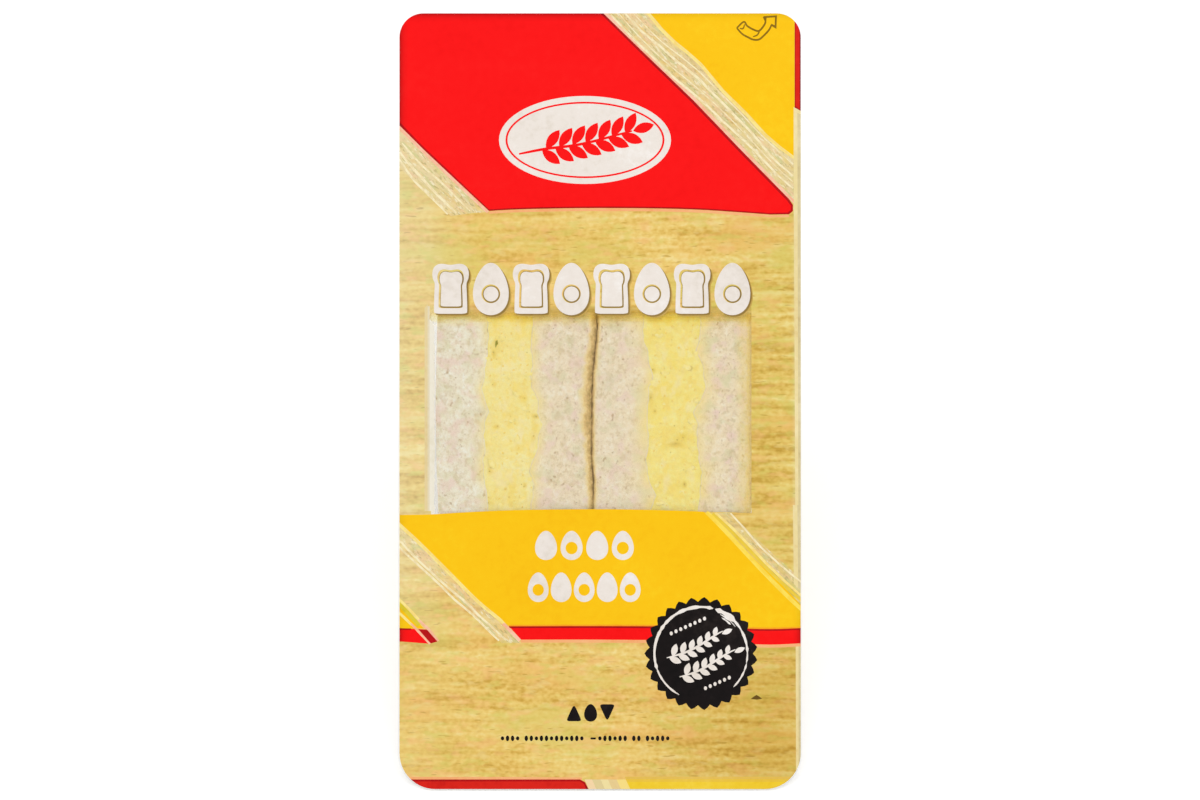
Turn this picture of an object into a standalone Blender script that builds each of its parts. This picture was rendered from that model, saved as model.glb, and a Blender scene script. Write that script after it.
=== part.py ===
"""Sealed wedge pack with an egg salad sandwich cut corner to corner.

A clear thermoformed tray (a right-angled wedge with a flat rim) holds two half
sandwiches side by side, cut faces forward. A printed film with a clear window
is sealed to the rim. The pack stands as it does on a shelf: on the lower edge of
its rim and on the rounded back ridge of the wedge, the film face leaning back.

Everything is drawn in the pack's own frame and carried by one empty:
    x  across the face, left to right
    y  up the face (v)
    z  out of the face (w), so the wedge goes down to negative z
"""

import math

import bmesh
import bpy
from mathutils import Matrix, Vector

MM = 0.001

# ---------------------------------------------------------------- sizes, in mm
FACE_W = 93.4            # rim, across
FACE_H = 180.0           # rim, up the face
FACE_R_TOP = 5.8         # corner radius of the rim, upper corners
FACE_R_BOTTOM = 8.6      # and lower corners
FILM_INSET = 0.3         # the film ends this far inside the rim's edge

SHEET = 0.5              # tray wall
FILM = 0.3               # lid film
GAP = 0.3                # between touching pieces

MOUTH_A = 39.4           # half width of the wedge's mouth
MOUTH_B = 78.0           # half length of the wedge's mouth
DRAFT = math.radians(3)  # side walls close in towards the ridge
EDGE_R = 5.0             # where a sloping wall meets a side wall
RIDGE_R = 10.0           # back ridge of the wedge
RIBS = (-20.0, 0.0, 20.0)  # stiffening ribs on both sloping walls
RIB_W = 7.0
RIB_H = 0.8
FILM_RISE = 1.1          # the film's crown over the mouth

SLICE = 105.0            # side of a bread slice
SLICE_R = 12.0           # its rounded corner
CUT_Z = -0.9             # level of the cut faces, below the rim
CRUST_EASE = 2.2         # rounding of the crust edges
FILL_EDGE = 6.0          # filling at the crusts
FILL_RAMP = 45.0         # distance from a crust to the full filling
FILL_INSET = 2.6         # the filling stops short of the crusts
OUTER_SHARE = 0.6        # share of the taper that the outer slice takes

# across the cut face, left to right: each half is slice, filling, slice
LEFT_HALF = (-37.9, -27.1, -14.6, -2.05)
RIGHT_HALF = (-1.35, 10.85, 23.6, 35.6)

CELL = 9.0               # facet size on curved pieces
RIDGE_STEPS = 8          # facets round the back ridge
EDGE_STEPS = 4           # facets round the tray's other edges
CRUST_STEPS = 5          # facets round each half corner of a slice

# -------------------------------------------------------------- clean the scene
for old in list(bpy.data.objects):
    bpy.data.objects.remove(old, do_unlink=True)

parts = bpy.data.collections.new("egg_salad_sandwich_pack")
bpy.context.scene.collection.children.link(parts)


# -------------------------------------------------------------------- materials
def srgb(r, g, b):
    def lin(c):
        c /= 255.0
        return c / 12.92 if c <= 0.04045 else ((c + 0.055) / 1.055) ** 2.4

    return (lin(r), lin(g), lin(b), 1.0)


def material(name, colour, roughness, metallic=0.0, alpha=1.0, transmission=0.0):
    mat = bpy.data.materials.new(name)
    mat.use_nodes = True
    shader = mat.node_tree.nodes["Principled BSDF"]
    shader.inputs["Base Color"].default_value = colour
    shader.inputs["Roughness"].default_value = roughness
    shader.inputs["Metallic"].default_value = metallic
    shader.inputs["Alpha"].default_value = alpha
    shader.inputs["Transmission Weight"].default_value = transmission
    mat.diffuse_color = (*colour[:3], alpha)
    return mat


PRINTED_FILM = material("printed_film", srgb(232, 197, 113), 0.35)
CLEAR_SHEET = material("clear_sheet", srgb(240, 244, 246), 0.06, alpha=0.25, transmission=0.9)
BREAD = material("bread", srgb(229, 214, 186), 0.9)
EGG_SALAD = material("egg_salad", srgb(241, 220, 140), 0.55)


# ------------------------------------------------------------ the pack's empty
def rest_angle():
    """Slope of the face above the floor: the floor touches the rim's lower back edge and the ridge."""
    out = RIDGE_R + SHEET
    run = FACE_H / 2
    drop = ridge_centre() - SHEET
    reach = math.hypot(run, drop)
    return math.atan2(drop, run) + math.asin(out / reach)


def ridge_centre():
    """Depth of the ridge's axis below the rim's top face."""
    return MOUTH_B - RIDGE_R * math.sqrt(2)


LEAN = rest_angle()


def to_world(y, z):
    return (
        y * math.cos(LEAN) - z * math.sin(LEAN),
        y * math.sin(LEAN) + z * math.cos(LEAN),
    )


film_top = GAP + FILM
front_y = to_world(FILM_INSET - FACE_H / 2, film_top)[0]
back_y = to_world(FACE_H / 2, -SHEET)[0]
floor_z = to_world(-FACE_H / 2, -SHEET)[1]

pack = bpy.data.objects.new("pack_frame", None)
pack.empty_display_size = 0.02
pack.rotation_euler = (LEAN, 0.0, 0.0)
pack.location = (0.0, -(front_y + back_y) / 2 * MM, -floor_z * MM)
parts.objects.link(pack)


def add(name, bm, mat, smooth=math.radians(35)):
    """Turns a bmesh, drawn in mm in the pack's frame, into a named object on the pack's empty."""
    bmesh.ops.remove_doubles(bm, verts=bm.verts, dist=1e-4)
    bmesh.ops.recalc_face_normals(bm, faces=bm.faces)
    bmesh.ops.transform(bm, matrix=Matrix.Scale(MM, 4), verts=bm.verts)
    mesh = bpy.data.meshes.new(name)
    bm.to_mesh(mesh)
    bm.free()
    mesh.shade_smooth()
    mesh.set_sharp_from_angle(angle=smooth)
    mesh.materials.append(mat)
    obj = bpy.data.objects.new(name, mesh)
    obj.parent = pack
    parts.objects.link(obj)
    return obj


def solidify(obj, thickness, offset):
    mod = obj.modifiers.new("sheet", "SOLIDIFY")
    mod.thickness = thickness * MM
    mod.offset = offset
    mod.use_even_offset = True
    mod.use_quality_normals = True


def face_outline(inset, steps):
    """The rim's rounded rectangle, moved inwards by inset, anticlockwise from its upper right corner."""
    a, b = FACE_W / 2 - inset, FACE_H / 2 - inset
    points = []
    for k, (sx, sy) in enumerate(((1, 1), (-1, 1), (-1, -1), (1, -1))):
        r = (FACE_R_TOP if sy > 0 else FACE_R_BOTTOM) - inset
        for i in range(steps + 1):
            t = math.pi / 2 * (k + i / steps)
            points.append(
                Vector((sx * (a - r) + r * math.cos(t), sy * (b - r) + r * math.sin(t), 0))
            )
    return points


def grid_cuts(bm, axis, low, high, step):
    """Cuts the whole mesh by parallel planes, so that it can bend."""
    n = max(1, round((high - low) / step))
    normal = Vector((0, 0, 0))
    normal[axis] = 1.0
    for i in range(1, n):
        point = Vector((0, 0, 0))
        point[axis] = low + (high - low) * i / n
        bmesh.ops.bisect_plane(
            bm,
            geom=bm.verts[:] + bm.edges[:] + bm.faces[:],
            dist=1e-5,
            plane_co=point,
            plane_no=normal,
        )


def smoothstep(t):
    t = min(1.0, max(0.0, t))
    return t * t * (3 - 2 * t)


# ------------------------------------------------------------------------ tray
def wall_profile(inset, leg_steps, ridge_steps):
    """The wedge's section, (v, depth) from the upper rim down round the ridge to the lower rim, moved inwards by inset."""
    b = MOUTH_B - inset * math.sqrt(2)
    centre, r = ridge_centre(), RIDGE_R - inset
    tangent = Vector((r * math.sin(math.pi / 4), centre + r * math.cos(math.pi / 4)))
    top = Vector((b, 0.0))
    upper = [top.lerp(tangent, i / leg_steps) for i in range(leg_steps)]
    arc = []
    for i in range(ridge_steps + 1):
        t = math.pi / 4 - math.pi / 2 * i / ridge_steps
        arc.append(Vector((r * math.sin(t), centre + r * math.cos(t))))
    lower = [Vector((-p.x, p.y)) for p in reversed(upper)]
    return upper + arc + lower


def rib(u, share):
    """Height of the ribs at u across the wall, share of the way down a sloping wall."""
    fade = smoothstep((share - 0.10) / 0.10) * smoothstep((0.92 - share) / 0.10)
    tall = max(
        (0.5 + 0.5 * math.cos(math.pi * min(1.0, abs(u - c) / (RIB_W / 2)))) for c in RIBS
    )
    return RIB_H * fade * tall


def across():
    """(u share of the flat width, edge angle) of each section from the left side wall to the right one."""
    steps = EDGE_STEPS
    flat = MOUTH_A - EDGE_R
    knots = sorted(
        {round(x, 3) for c in RIBS for x in (c - RIB_W / 2, c - RIB_W / 4, c, c + RIB_W / 4, c + RIB_W / 2)}
        | {round(flat, 3), round(-flat, 3)}
    )
    sections = [(-1, math.pi / 2 * i / steps) for i in range(steps, 0, -1)]
    sections += [(k / flat, 0.0) for k in knots]
    sections += [(1, math.pi / 2 * i / steps) for i in range(1, steps + 1)]
    return sections


def make_tray():
    bm = bmesh.new()
    legs, turn = 7, RIDGE_STEPS
    rows = []
    for share, angle in across():
        inset = EDGE_R * (1 - math.cos(angle))
        profile = wall_profile(inset, legs, turn)
        row = []
        for i, p in enumerate(profile):
            flat = MOUTH_A - EDGE_R - p.y * math.tan(DRAFT)
            u = share * flat + math.copysign(EDGE_R * math.sin(angle), share)
            v, depth = p.x, p.y
            if angle == 0.0 and (i <= legs or i >= len(profile) - 1 - legs):
                down = min(i, len(profile) - 1 - i) / legs
                lift = rib(share * (MOUTH_A - EDGE_R), down) / math.sqrt(2)
                v += math.copysign(lift, v)
                depth += lift
            row.append(bm.verts.new((u, v, -depth)))
        rows.append(row)
    for left, right in zip(rows, rows[1:]):
        for i in range(len(left) - 1):
            bm.faces.new((left[i], left[i + 1], right[i + 1], right[i]))
    bm.faces.new(rows[0])
    bm.faces.new(list(reversed(rows[-1])))
    mouth = [e for e in bm.edges if e.is_boundary]

    rim = [bm.verts.new(p) for p in face_outline(0.0, 6)]
    edges = [bm.edges.new((rim[i], rim[(i + 1) % len(rim)])) for i in range(len(rim))]
    bmesh.ops.triangle_fill(bm, use_beauty=True, edges=mouth + edges, normal=(0, 0, 1))
    tray = add("tray", bm, CLEAR_SHEET)
    # The faces look into the wedge, so the sheet grows outwards from them.
    solidify(tray, SHEET, -1.0)
    return tray


# -------------------------------------------------------------------- lid film
def film_height(x, y):
    """How far the film stands proud of the rim, highest over the middle of the mouth."""
    fx = math.cos(math.pi / 2 * min(1.0, abs(x) / MOUTH_A))
    fy = math.cos(math.pi / 2 * min(1.0, abs(y) / MOUTH_B)) ** 0.6
    return FILM_RISE * smoothstep(fx) * fy


def make_film():
    bm = bmesh.new()
    outline = [bm.verts.new(p) for p in face_outline(FILM_INSET, 6)]
    bm.faces.new(outline)
    for x in (-MOUTH_A, MOUTH_A):
        bmesh.ops.bisect_plane(
            bm, geom=bm.verts[:] + bm.edges[:] + bm.faces[:], plane_co=(x, 0, 0), plane_no=(1, 0, 0)
        )
    grid_cuts(bm, 0, -MOUTH_A, MOUTH_A, CELL)
    grid_cuts(bm, 1, -FACE_H / 2, FACE_H / 2, CELL)
    for v in bm.verts:
        v.co.z = GAP + film_height(v.co.x, v.co.y)
    film = add("lid_film", bm, PRINTED_FILM)
    solidify(film, FILM, 1.0)
    return film


# ------------------------------------------------------------------ sandwiches
def crust_distance(y, z):
    """Distance from a point of the slice to the nearer crust."""
    depth = -(z - CUT_Z)
    half = SLICE / math.sqrt(2)
    return (half - abs(y) - depth) / math.sqrt(2)


def filling_depth(y, z, full):
    """Thickness of the filling: full behind the middle of the cut, thin along the crusts."""
    return FILL_EDGE + (full - FILL_EDGE) * smoothstep(crust_distance(y, z) / FILL_RAMP)


def half_slice_outline(inset, steps):
    """A square slice with rounded corners, cut corner to corner: (y, z) from the lower end of the cut round the crusts to its upper end."""
    half = SLICE / math.sqrt(2)
    r = SLICE_R - inset
    points = []

    def corner(cy, cz, start, end):
        for i in range(steps + 1):
            t = start + (end - start) * i / steps
            points.append((cy + r * math.cos(t), cz + r * math.sin(t)))

    reach = half - SLICE_R * math.sqrt(2)
    corner(-reach, CUT_Z, math.pi, math.pi * 1.25)
    corner(0.0, CUT_Z - reach, math.pi * 1.25, math.pi * 1.75)
    corner(reach, CUT_Z, math.pi * 1.75, math.pi * 2)
    return points


def bounds_of(half, y, z):
    """The four surfaces of a half sandwich at (y, z): outer side, filling's two sides and the other outer side."""
    a, b, c, d = half
    full = c - b
    loss = full - filling_depth(y, z, full)
    left_share = OUTER_SHARE if half is LEFT_HALF else 1 - OUTER_SHARE
    left, right = loss * left_share, loss * (1 - left_share)
    return a + left, b + left, c - right, d - right


def make_layer(name, half, which, mat, inset, ease):
    """One slice or filling of a half sandwich: an extruded outline, cut into cells and bent to its two surfaces."""
    bm = bmesh.new()
    outline = half_slice_outline(inset, CRUST_STEPS)
    face = bm.faces.new([bm.verts.new((0.0, y, z)) for y, z in outline])
    top = bmesh.ops.extrude_face_region(bm, geom=[face])["geom"]
    for v in [g for g in top if isinstance(g, bmesh.types.BMVert)]:
        v.co.x = 1.0
    if ease:
        # Both rims of the crust are rounded; the cut edges stay sharp. The width is scaled first, so that the rounding is true.
        wide = half[which + 1] - half[which]
        for v in bm.verts:
            v.co.x *= wide
        crust = [
            e
            for e in bm.edges
            if abs(e.verts[0].co.x - e.verts[1].co.x) < 1e-6
            and not all(abs(v.co.z - CUT_Z) < 1e-6 for v in e.verts)
        ]
        bmesh.ops.bevel(
            bm, geom=crust, offset=ease, offset_type="OFFSET", segments=3, profile=0.5,
            affect="EDGES", clamp_overlap=True,
        )
        for v in bm.verts:
            v.co.x /= wide
    half_len = SLICE / math.sqrt(2)
    grid_cuts(bm, 1, -half_len, half_len, CELL * 1.5)
    grid_cuts(bm, 2, CUT_Z - half_len, CUT_Z, CELL * 1.5)
    for v in bm.verts:
        share = v.co.x
        surfaces = bounds_of(half, v.co.y, v.co.z)
        low, high = surfaces[which], surfaces[which + 1]
        if which == 1:
            low, high = low + GAP, high - GAP
        v.co.x = low + (high - low) * share
    return add(name, bm, mat)


make_tray()
make_film()
make_layer("bread_1", LEFT_HALF, 0, BREAD, 0.0, CRUST_EASE)
make_layer("egg_salad_1", LEFT_HALF, 1, EGG_SALAD, FILL_INSET, 0.0)
make_layer("bread_2", LEFT_HALF, 2, BREAD, 0.0, CRUST_EASE)
make_layer("bread_3", RIGHT_HALF, 0, BREAD, 0.0, CRUST_EASE)
make_layer("egg_salad_2", RIGHT_HALF, 1, EGG_SALAD, FILL_INSET, 0.0)
make_layer("bread_4", RIGHT_HALF, 2, BREAD, 0.0, CRUST_EASE)
bpy.context.view_layer.update()
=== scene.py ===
import math

import bmesh
import bpy
import numpy as np
from mathutils import Matrix, Vector
from mathutils.geometry import delaunay_2d_cdt


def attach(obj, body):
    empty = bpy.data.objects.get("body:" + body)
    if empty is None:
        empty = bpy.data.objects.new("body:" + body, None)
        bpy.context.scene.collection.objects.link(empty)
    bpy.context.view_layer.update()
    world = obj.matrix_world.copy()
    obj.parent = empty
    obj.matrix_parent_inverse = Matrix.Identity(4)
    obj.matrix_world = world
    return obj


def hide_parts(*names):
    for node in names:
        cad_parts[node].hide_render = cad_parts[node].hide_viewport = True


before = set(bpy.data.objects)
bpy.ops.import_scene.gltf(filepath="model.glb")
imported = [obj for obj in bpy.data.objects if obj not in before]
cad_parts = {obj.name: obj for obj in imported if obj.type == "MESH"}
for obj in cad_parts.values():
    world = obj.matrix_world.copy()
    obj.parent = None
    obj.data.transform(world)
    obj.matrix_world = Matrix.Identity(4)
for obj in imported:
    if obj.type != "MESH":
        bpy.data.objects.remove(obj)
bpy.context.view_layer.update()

# ============================================================================
# The pack's own frame, in mm: x across the face, y up the face, z out of it.
# ============================================================================
FACE_W, FACE_H = 93.4, 180.0
FACE_R_TOP, FACE_R_BOTTOM = 5.8, 8.6
FILM_INSET = 0.3
SHEET = 0.45
MOUTH_A, MOUTH_B = 39.4, 78.0
DRAFT = math.radians(3)
EDGE_R, RIDGE_R = 5.0, 10.0
RIBS, RIB_W, RIB_H = (-20.0, 0.0, 20.0), 7.0, 0.7
SLICE, SLICE_R = 105.0, 12.0
CUT_Z = -0.35
CRUST_EASE = 2.2
FILL_EDGE, FILL_RAMP, FILL_INSET = 6.0, 45.0, 2.6
OUTER_SHARE = 0.6
LEFT_HALF = (-37.9, -27.1, -14.6, -2.05)
RIGHT_HALF = (-1.35, 10.85, 23.6, 35.6)

HALF = SLICE / math.sqrt(2)
REACH = HALF - SLICE_R * math.sqrt(2)


def ridge_centre():
    return MOUTH_B - RIDGE_R * math.sqrt(2)


def rest_angle():
    out, run, drop = RIDGE_R + 0.5, FACE_H / 2, ridge_centre() - 0.5
    return math.atan2(drop, run) + math.asin(out / math.hypot(run, drop))


LEAN = rest_angle()


def to_world(y, z):
    return (
        y * math.cos(LEAN) - z * math.sin(LEAN),
        y * math.sin(LEAN) + z * math.cos(LEAN),
    )


FRONT_Y = to_world(FILM_INSET - FACE_H / 2, 0.6)[0]
BACK_Y = to_world(FACE_H / 2, -0.5)[0]
FLOOR_Z = to_world(-FACE_H / 2, -0.5)[1]
PACK = (
    Matrix.Translation((0, -(FRONT_Y + BACK_Y) / 2 * 0.001, -FLOOR_Z * 0.001))
    @ Matrix.Rotation(LEAN, 4, "X")
)


# ============================================================================
# Noise, cells and pores, on arrays of points
# ============================================================================
def smooth(t):
    t = np.clip(t, 0.0, 1.0)
    return t * t * (3 - 2 * t)


class Noise:
    """Smooth value noise from -1 to 1 on a repeating lattice."""

    def __init__(self, seed, size=32):
        self.size = size
        self.table = np.random.RandomState(seed).rand(size, size, size) * 2 - 1

    def __call__(self, x, y, z=0.0):
        x, y, z = np.broadcast_arrays(np.asarray(x, float), y, z)
        base = [np.floor(c).astype(int) for c in (x, y, z)]
        f = [smooth(c - b) for c, b in zip((x, y, z), base)]
        n, out = self.size, 0.0
        for i in (0, 1):
            for j in (0, 1):
                for k in (0, 1):
                    w = (
                        (f[0] if i else 1 - f[0])
                        * (f[1] if j else 1 - f[1])
                        * (f[2] if k else 1 - f[2])
                    )
                    out = out + w * self.table[(base[0] + i) % n, (base[1] + j) % n, (base[2] + k) % n]
        return out

    def layers(self, x, y, z=0.0, octaves=3, gain=0.5):
        out, amp, total = 0.0, 1.0, 0.0
        for k in range(octaves):
            f = 2.0**k
            out = out + amp * self(np.asarray(x) * f + 7.3 * k, np.asarray(y) * f + 3.1 * k, np.asarray(z) * f + 5.7 * k)
            total += amp
            amp *= gain
        return out / total


class Cells:
    """Scattered feature points, one to a cell: distances to the nearest two, and a random value of the nearest."""

    def __init__(self, seed, size=24):
        r = np.random.RandomState(seed)
        self.size = size
        self.place = r.rand(size, size, size, 3)
        self.value = r.rand(size, size, size)

    def __call__(self, x, y, z=0.0, jitter=0.9):
        p = np.stack(np.broadcast_arrays(np.asarray(x, float), y, z), -1)
        base = np.floor(p).astype(int)
        first = np.full(p.shape[:-1], 9.0)
        second = first.copy()
        value = np.zeros_like(first)
        n = self.size
        for i in (-1, 0, 1):
            for j in (-1, 0, 1):
                for k in (-1, 0, 1):
                    cell = base + (i, j, k)
                    w = cell % n
                    spot = cell + 0.5 + (self.place[w[..., 0], w[..., 1], w[..., 2]] - 0.5) * jitter
                    d = np.sqrt(((p - spot) ** 2).sum(-1))
                    near = d < first
                    second = np.where(near, first, np.minimum(second, d))
                    value = np.where(near, self.value[w[..., 0], w[..., 1], w[..., 2]], value)
                    first = np.where(near, d, first)
        return first, second, value

    def pits(self, x, y, z=0.0, low=0.18, high=0.5, filled=1.0):
        """Depth from 0 to 1 of round pores, at most one to a cell, with radii from low to high of a cell."""
        p = np.stack(np.broadcast_arrays(np.asarray(x, float), y, z), -1)
        base = np.floor(p).astype(int)
        depth = np.zeros(p.shape[:-1])
        n = self.size
        for i in (-1, 0, 1):
            for j in (-1, 0, 1):
                for k in (-1, 0, 1):
                    cell = base + (i, j, k)
                    w = cell % n
                    spot = cell + 0.5 + (self.place[w[..., 0], w[..., 1], w[..., 2]] - 0.5) * 0.9
                    v = self.value[w[..., 0], w[..., 1], w[..., 2]]
                    r = low + (high - low) * (v / max(filled, 1e-6)) ** 2
                    d2 = ((p - spot) ** 2).sum(-1)
                    bowl = np.sqrt(np.clip(1 - d2 / (r * r), 0, 1)) * (r / high)
                    depth = np.maximum(depth, np.where(v < filled, bowl, 0.0))
        return depth


# ============================================================================
# Meshes
# ============================================================================
def linear(r, g, b):
    def lin(c):
        c /= 255.0
        return c / 12.92 if c <= 0.04045 else ((c + 0.055) / 1.055) ** 2.4

    return (lin(r), lin(g), lin(b), 1.0)


def make_mesh(name, points, faces, materials, slots=None, values=None):
    """A mesh object from points in the pack's frame, in mm; faces is a list of index arrays (n, 3), (n, 4) or of single rings."""
    mesh = bpy.data.meshes.new(name)
    points = np.asarray(points, float) @ np.array(PACK.to_3x3()).T + np.array(PACK.translation) * 1000
    loops, starts, at = [], [], 0
    for block in faces:
        block = np.asarray(block, int)
        if block.ndim == 1:
            block = block[None]
        loops.append(block.ravel())
        starts.append(at + np.arange(len(block)) * block.shape[1])
        at += block.size
    loops, starts = np.concatenate(loops), np.concatenate(starts)
    mesh.vertices.add(len(points))
    mesh.vertices.foreach_set("co", (points * 0.001).ravel().astype(np.float32))
    mesh.loops.add(len(loops))
    mesh.loops.foreach_set("vertex_index", loops.astype(np.int32))
    mesh.polygons.add(len(starts))
    mesh.polygons.foreach_set("loop_start", starts.astype(np.int32))
    for m in materials:
        mesh.materials.append(m)
    if slots is not None:
        mesh.polygons.foreach_set("material_index", np.asarray(slots, np.int32))
    mesh.update(calc_edges=True)
    for key, data in (values or {}).items():
        mesh.attributes.new(key, "FLOAT", "POINT").data.foreach_set("value", np.asarray(data, np.float32))
    mesh.validate()
    obj = bpy.data.objects.new(name, mesh)
    bpy.context.scene.collection.objects.link(obj)
    return obj


def tidy(obj, merge=0.0, sharp=None):
    """Merges points, turns all faces outwards and shades smooth, with edges sharper than the angle kept."""
    bm = bmesh.new()
    bm.from_mesh(obj.data)
    if merge:
        bmesh.ops.remove_doubles(bm, verts=bm.verts, dist=merge * 0.001)
        bmesh.ops.dissolve_degenerate(bm, dist=1e-7, edges=bm.edges)
    bmesh.ops.recalc_face_normals(bm, faces=bm.faces)
    bm.to_mesh(obj.data)
    bm.free()
    obj.data.shade_smooth()
    if sharp is not None:
        obj.data.set_sharp_from_angle(angle=math.radians(sharp))


# ============================================================================
# Materials
# ============================================================================
class Tree:
    """A short way to write a material's nodes."""

    def __init__(self, name):
        self.mat = bpy.data.materials.new(name)
        self.mat.use_nodes = True
        self.nodes, self.links = self.mat.node_tree.nodes, self.mat.node_tree.links
        self.shader = self.nodes["Principled BSDF"]
        self.out = self.nodes["Material Output"]
        back = self.nodes.new("ShaderNodeMapping")
        back.vector_type = "TEXTURE"
        back.inputs["Location"].default_value = PACK.translation
        back.inputs["Rotation"].default_value = (LEAN, 0, 0)
        self.links.new(self.nodes.new("ShaderNodeTexCoord").outputs["Object"], back.inputs["Vector"])
        self.place = back.outputs["Vector"]

    def put(self, socket, value):
        if isinstance(value, bpy.types.NodeSocket):
            self.links.new(value, socket)
        else:
            socket.default_value = value

    def scaled(self, x, y, z, offset=(0, 0, 0)):
        """Place in the pack's frame, times a scale per mm."""
        n = self.nodes.new("ShaderNodeMapping")
        n.inputs["Scale"].default_value = (x * 1000, y * 1000, z * 1000)
        n.inputs["Location"].default_value = offset
        self.links.new(self.place, n.inputs["Vector"])
        return n.outputs["Vector"]

    def slanted(self, along, across, offset=(0, 0, 0)):
        """Place turned so that its x runs down the diagonals of the print, times scales per mm."""
        turn = self.nodes.new("ShaderNodeMapping")
        turn.inputs["Rotation"].default_value = (0, 0, math.radians(45))
        self.links.new(self.place, turn.inputs["Vector"])
        n = self.nodes.new("ShaderNodeMapping")
        n.inputs["Scale"].default_value = (along * 1000, across * 1000, across * 1000)
        n.inputs["Location"].default_value = offset
        self.links.new(turn.outputs["Vector"], n.inputs["Vector"])
        return n.outputs["Vector"]

    def split(self, vector):
        n = self.nodes.new("ShaderNodeSeparateXYZ")
        self.links.new(vector, n.inputs[0])
        return n.outputs

    def noise(self, vector, scale=1.0, detail=3.0, rough=0.5, distort=0.0, kind="Fac"):
        n = self.nodes.new("ShaderNodeTexNoise")
        self.put(n.inputs["Vector"], vector)
        n.inputs["Scale"].default_value = scale
        n.inputs["Detail"].default_value = detail
        n.inputs["Roughness"].default_value = rough
        n.inputs["Distortion"].default_value = distort
        return n.outputs[kind]

    def voronoi(self, vector, scale=1.0, feature="F1", kind="Distance", jitter=1.0):
        n = self.nodes.new("ShaderNodeTexVoronoi")
        n.feature = feature
        self.put(n.inputs["Vector"], vector)
        n.inputs["Scale"].default_value = scale
        n.inputs["Randomness"].default_value = jitter
        return n.outputs[kind]

    def ramp(self, value, stops, mode="EASE"):
        """stops: (position, colour or number)."""
        n = self.nodes.new("ShaderNodeValToRGB")
        n.color_ramp.interpolation = mode
        ramp = n.color_ramp.elements
        while len(ramp) < len(stops):
            ramp.new(0.5)
        for e, (at, c) in zip(ramp, stops):
            e.position = at
            e.color = c if isinstance(c, tuple) else (c, c, c, 1)
        self.put(n.inputs["Fac"], value)
        return n.outputs["Color"]

    def math(self, op, a, b=0.0, c=0.0, clamp=False):
        n = self.nodes.new("ShaderNodeMath")
        n.operation = op
        n.use_clamp = clamp
        for socket, value in zip(n.inputs, (a, b, c)):
            self.put(socket, value)
        return n.outputs[0]

    def mix(self, fac, a, b, mode="MIX"):
        n = self.nodes.new("ShaderNodeMix")
        n.data_type = "RGBA"
        n.blend_type = mode
        self.put(n.inputs["Factor"], fac)
        self.put(n.inputs[6], a)
        self.put(n.inputs[7], b)
        return n.outputs[2]

    def value(self, name):
        n = self.nodes.new("ShaderNodeAttribute")
        n.attribute_name = name
        return n.outputs["Fac"]

    def bump(self, height, strength=0.3, distance=0.0002, normal=None):
        n = self.nodes.new("ShaderNodeBump")
        n.inputs["Strength"].default_value = strength
        n.inputs["Distance"].default_value = distance
        self.put(n.inputs["Height"], height)
        if normal is not None:
            self.put(n.inputs["Normal"], normal)
        return n.outputs["Normal"]

    def set(self, **inputs):
        for key, value in inputs.items():
            self.put(self.shader.inputs[key.replace("_", " ")], value)
        return self


def film_base(t):
    """The film's fine waviness, shared by all inks and by the window."""
    wide = t.noise(t.scaled(0.05, 0.028, 0.05), 1.0, 2.0, 0.5)
    fine = t.noise(t.scaled(0.9, 0.9, 0.9), 1.0, 2.0, 0.6)
    return t.bump(fine, 0.10, 0.0001, t.bump(wide, 0.35, 0.0012))


def from_rim(t):
    """How far in from the film's outer edge, in mm."""
    c = t.split(t.place)
    away = [
        t.math("SUBTRACT", size / 2, t.math("MULTIPLY", t.math("ABSOLUTE", c[axis]), 1000.0))
        for axis, size in (("X", FACE_W), ("Y", FACE_H))
    ]
    return t.math("MINIMUM", away[0], away[1])


def ink(name, base, low, high, rough=0.40, grain=0.55, rim=None):
    """A printed ink: its colour drifts a little over the face and has a fine screen's mottle. Where rim is given,
    the colour is multiplied by it near the film's outer edge, a painted shade along that edge."""
    t = Tree(name)
    drift = t.noise(t.scaled(0.035, 0.05, 0.05), 1.0, 2.0, 0.5)
    mottle = t.noise(t.scaled(grain, grain, grain), 1.0, 3.0, 0.65)
    colour = t.ramp(t.mix(0.45, drift, mottle), [(0.32, linear(*low)), (0.5, linear(*base)), (0.68, linear(*high))])
    # painted shade: the ink darkens towards the film's outer edge
    if rim:
        near = t.ramp(t.math("MULTIPLY", from_rim(t), 1 / 3.0), [(0.15, 1.0), (0.30, 0.55), (0.45, 0.22), (0.75, 0.0)], "LINEAR")
        colour = t.mix(near, colour, linear(*rim), "MULTIPLY")
    t.set(
        Base_Color=colour,
        Roughness=t.ramp(mottle, [(0.3, rough - 0.05), (0.7, rough + 0.05)]),
        Normal=film_base(t),
    )
    t.shader.inputs["Specular IOR Level"].default_value = 0.13
    return t.mat


def worn_ink(name, base, under, wear=0.5, along=0.55, across=1.5):
    """A fine line of ink along the diagonals, printed so thin that the tone below shows through here and there."""
    t = Tree(name)
    thin = t.noise(t.slanted(along, across, (3, 1, 2)), 1.0, 2.0, 0.6)
    fine = t.noise(t.slanted(1.4, 1.4, (7, 4, 2)), 1.0, 2.0, 0.6)
    worn = t.mix(0.35, thin, fine)
    colour = t.mix(t.ramp(worn, [(0.44, 0.0), (0.60, wear)], "LINEAR"), linear(*base), linear(*under))
    t.set(Base_Color=colour, Roughness=t.ramp(fine, [(0.3, 0.38), (0.7, 0.48)]), Normal=film_base(t))
    t.shader.inputs["Specular IOR Level"].default_value = 0.13
    return t.mat


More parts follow.
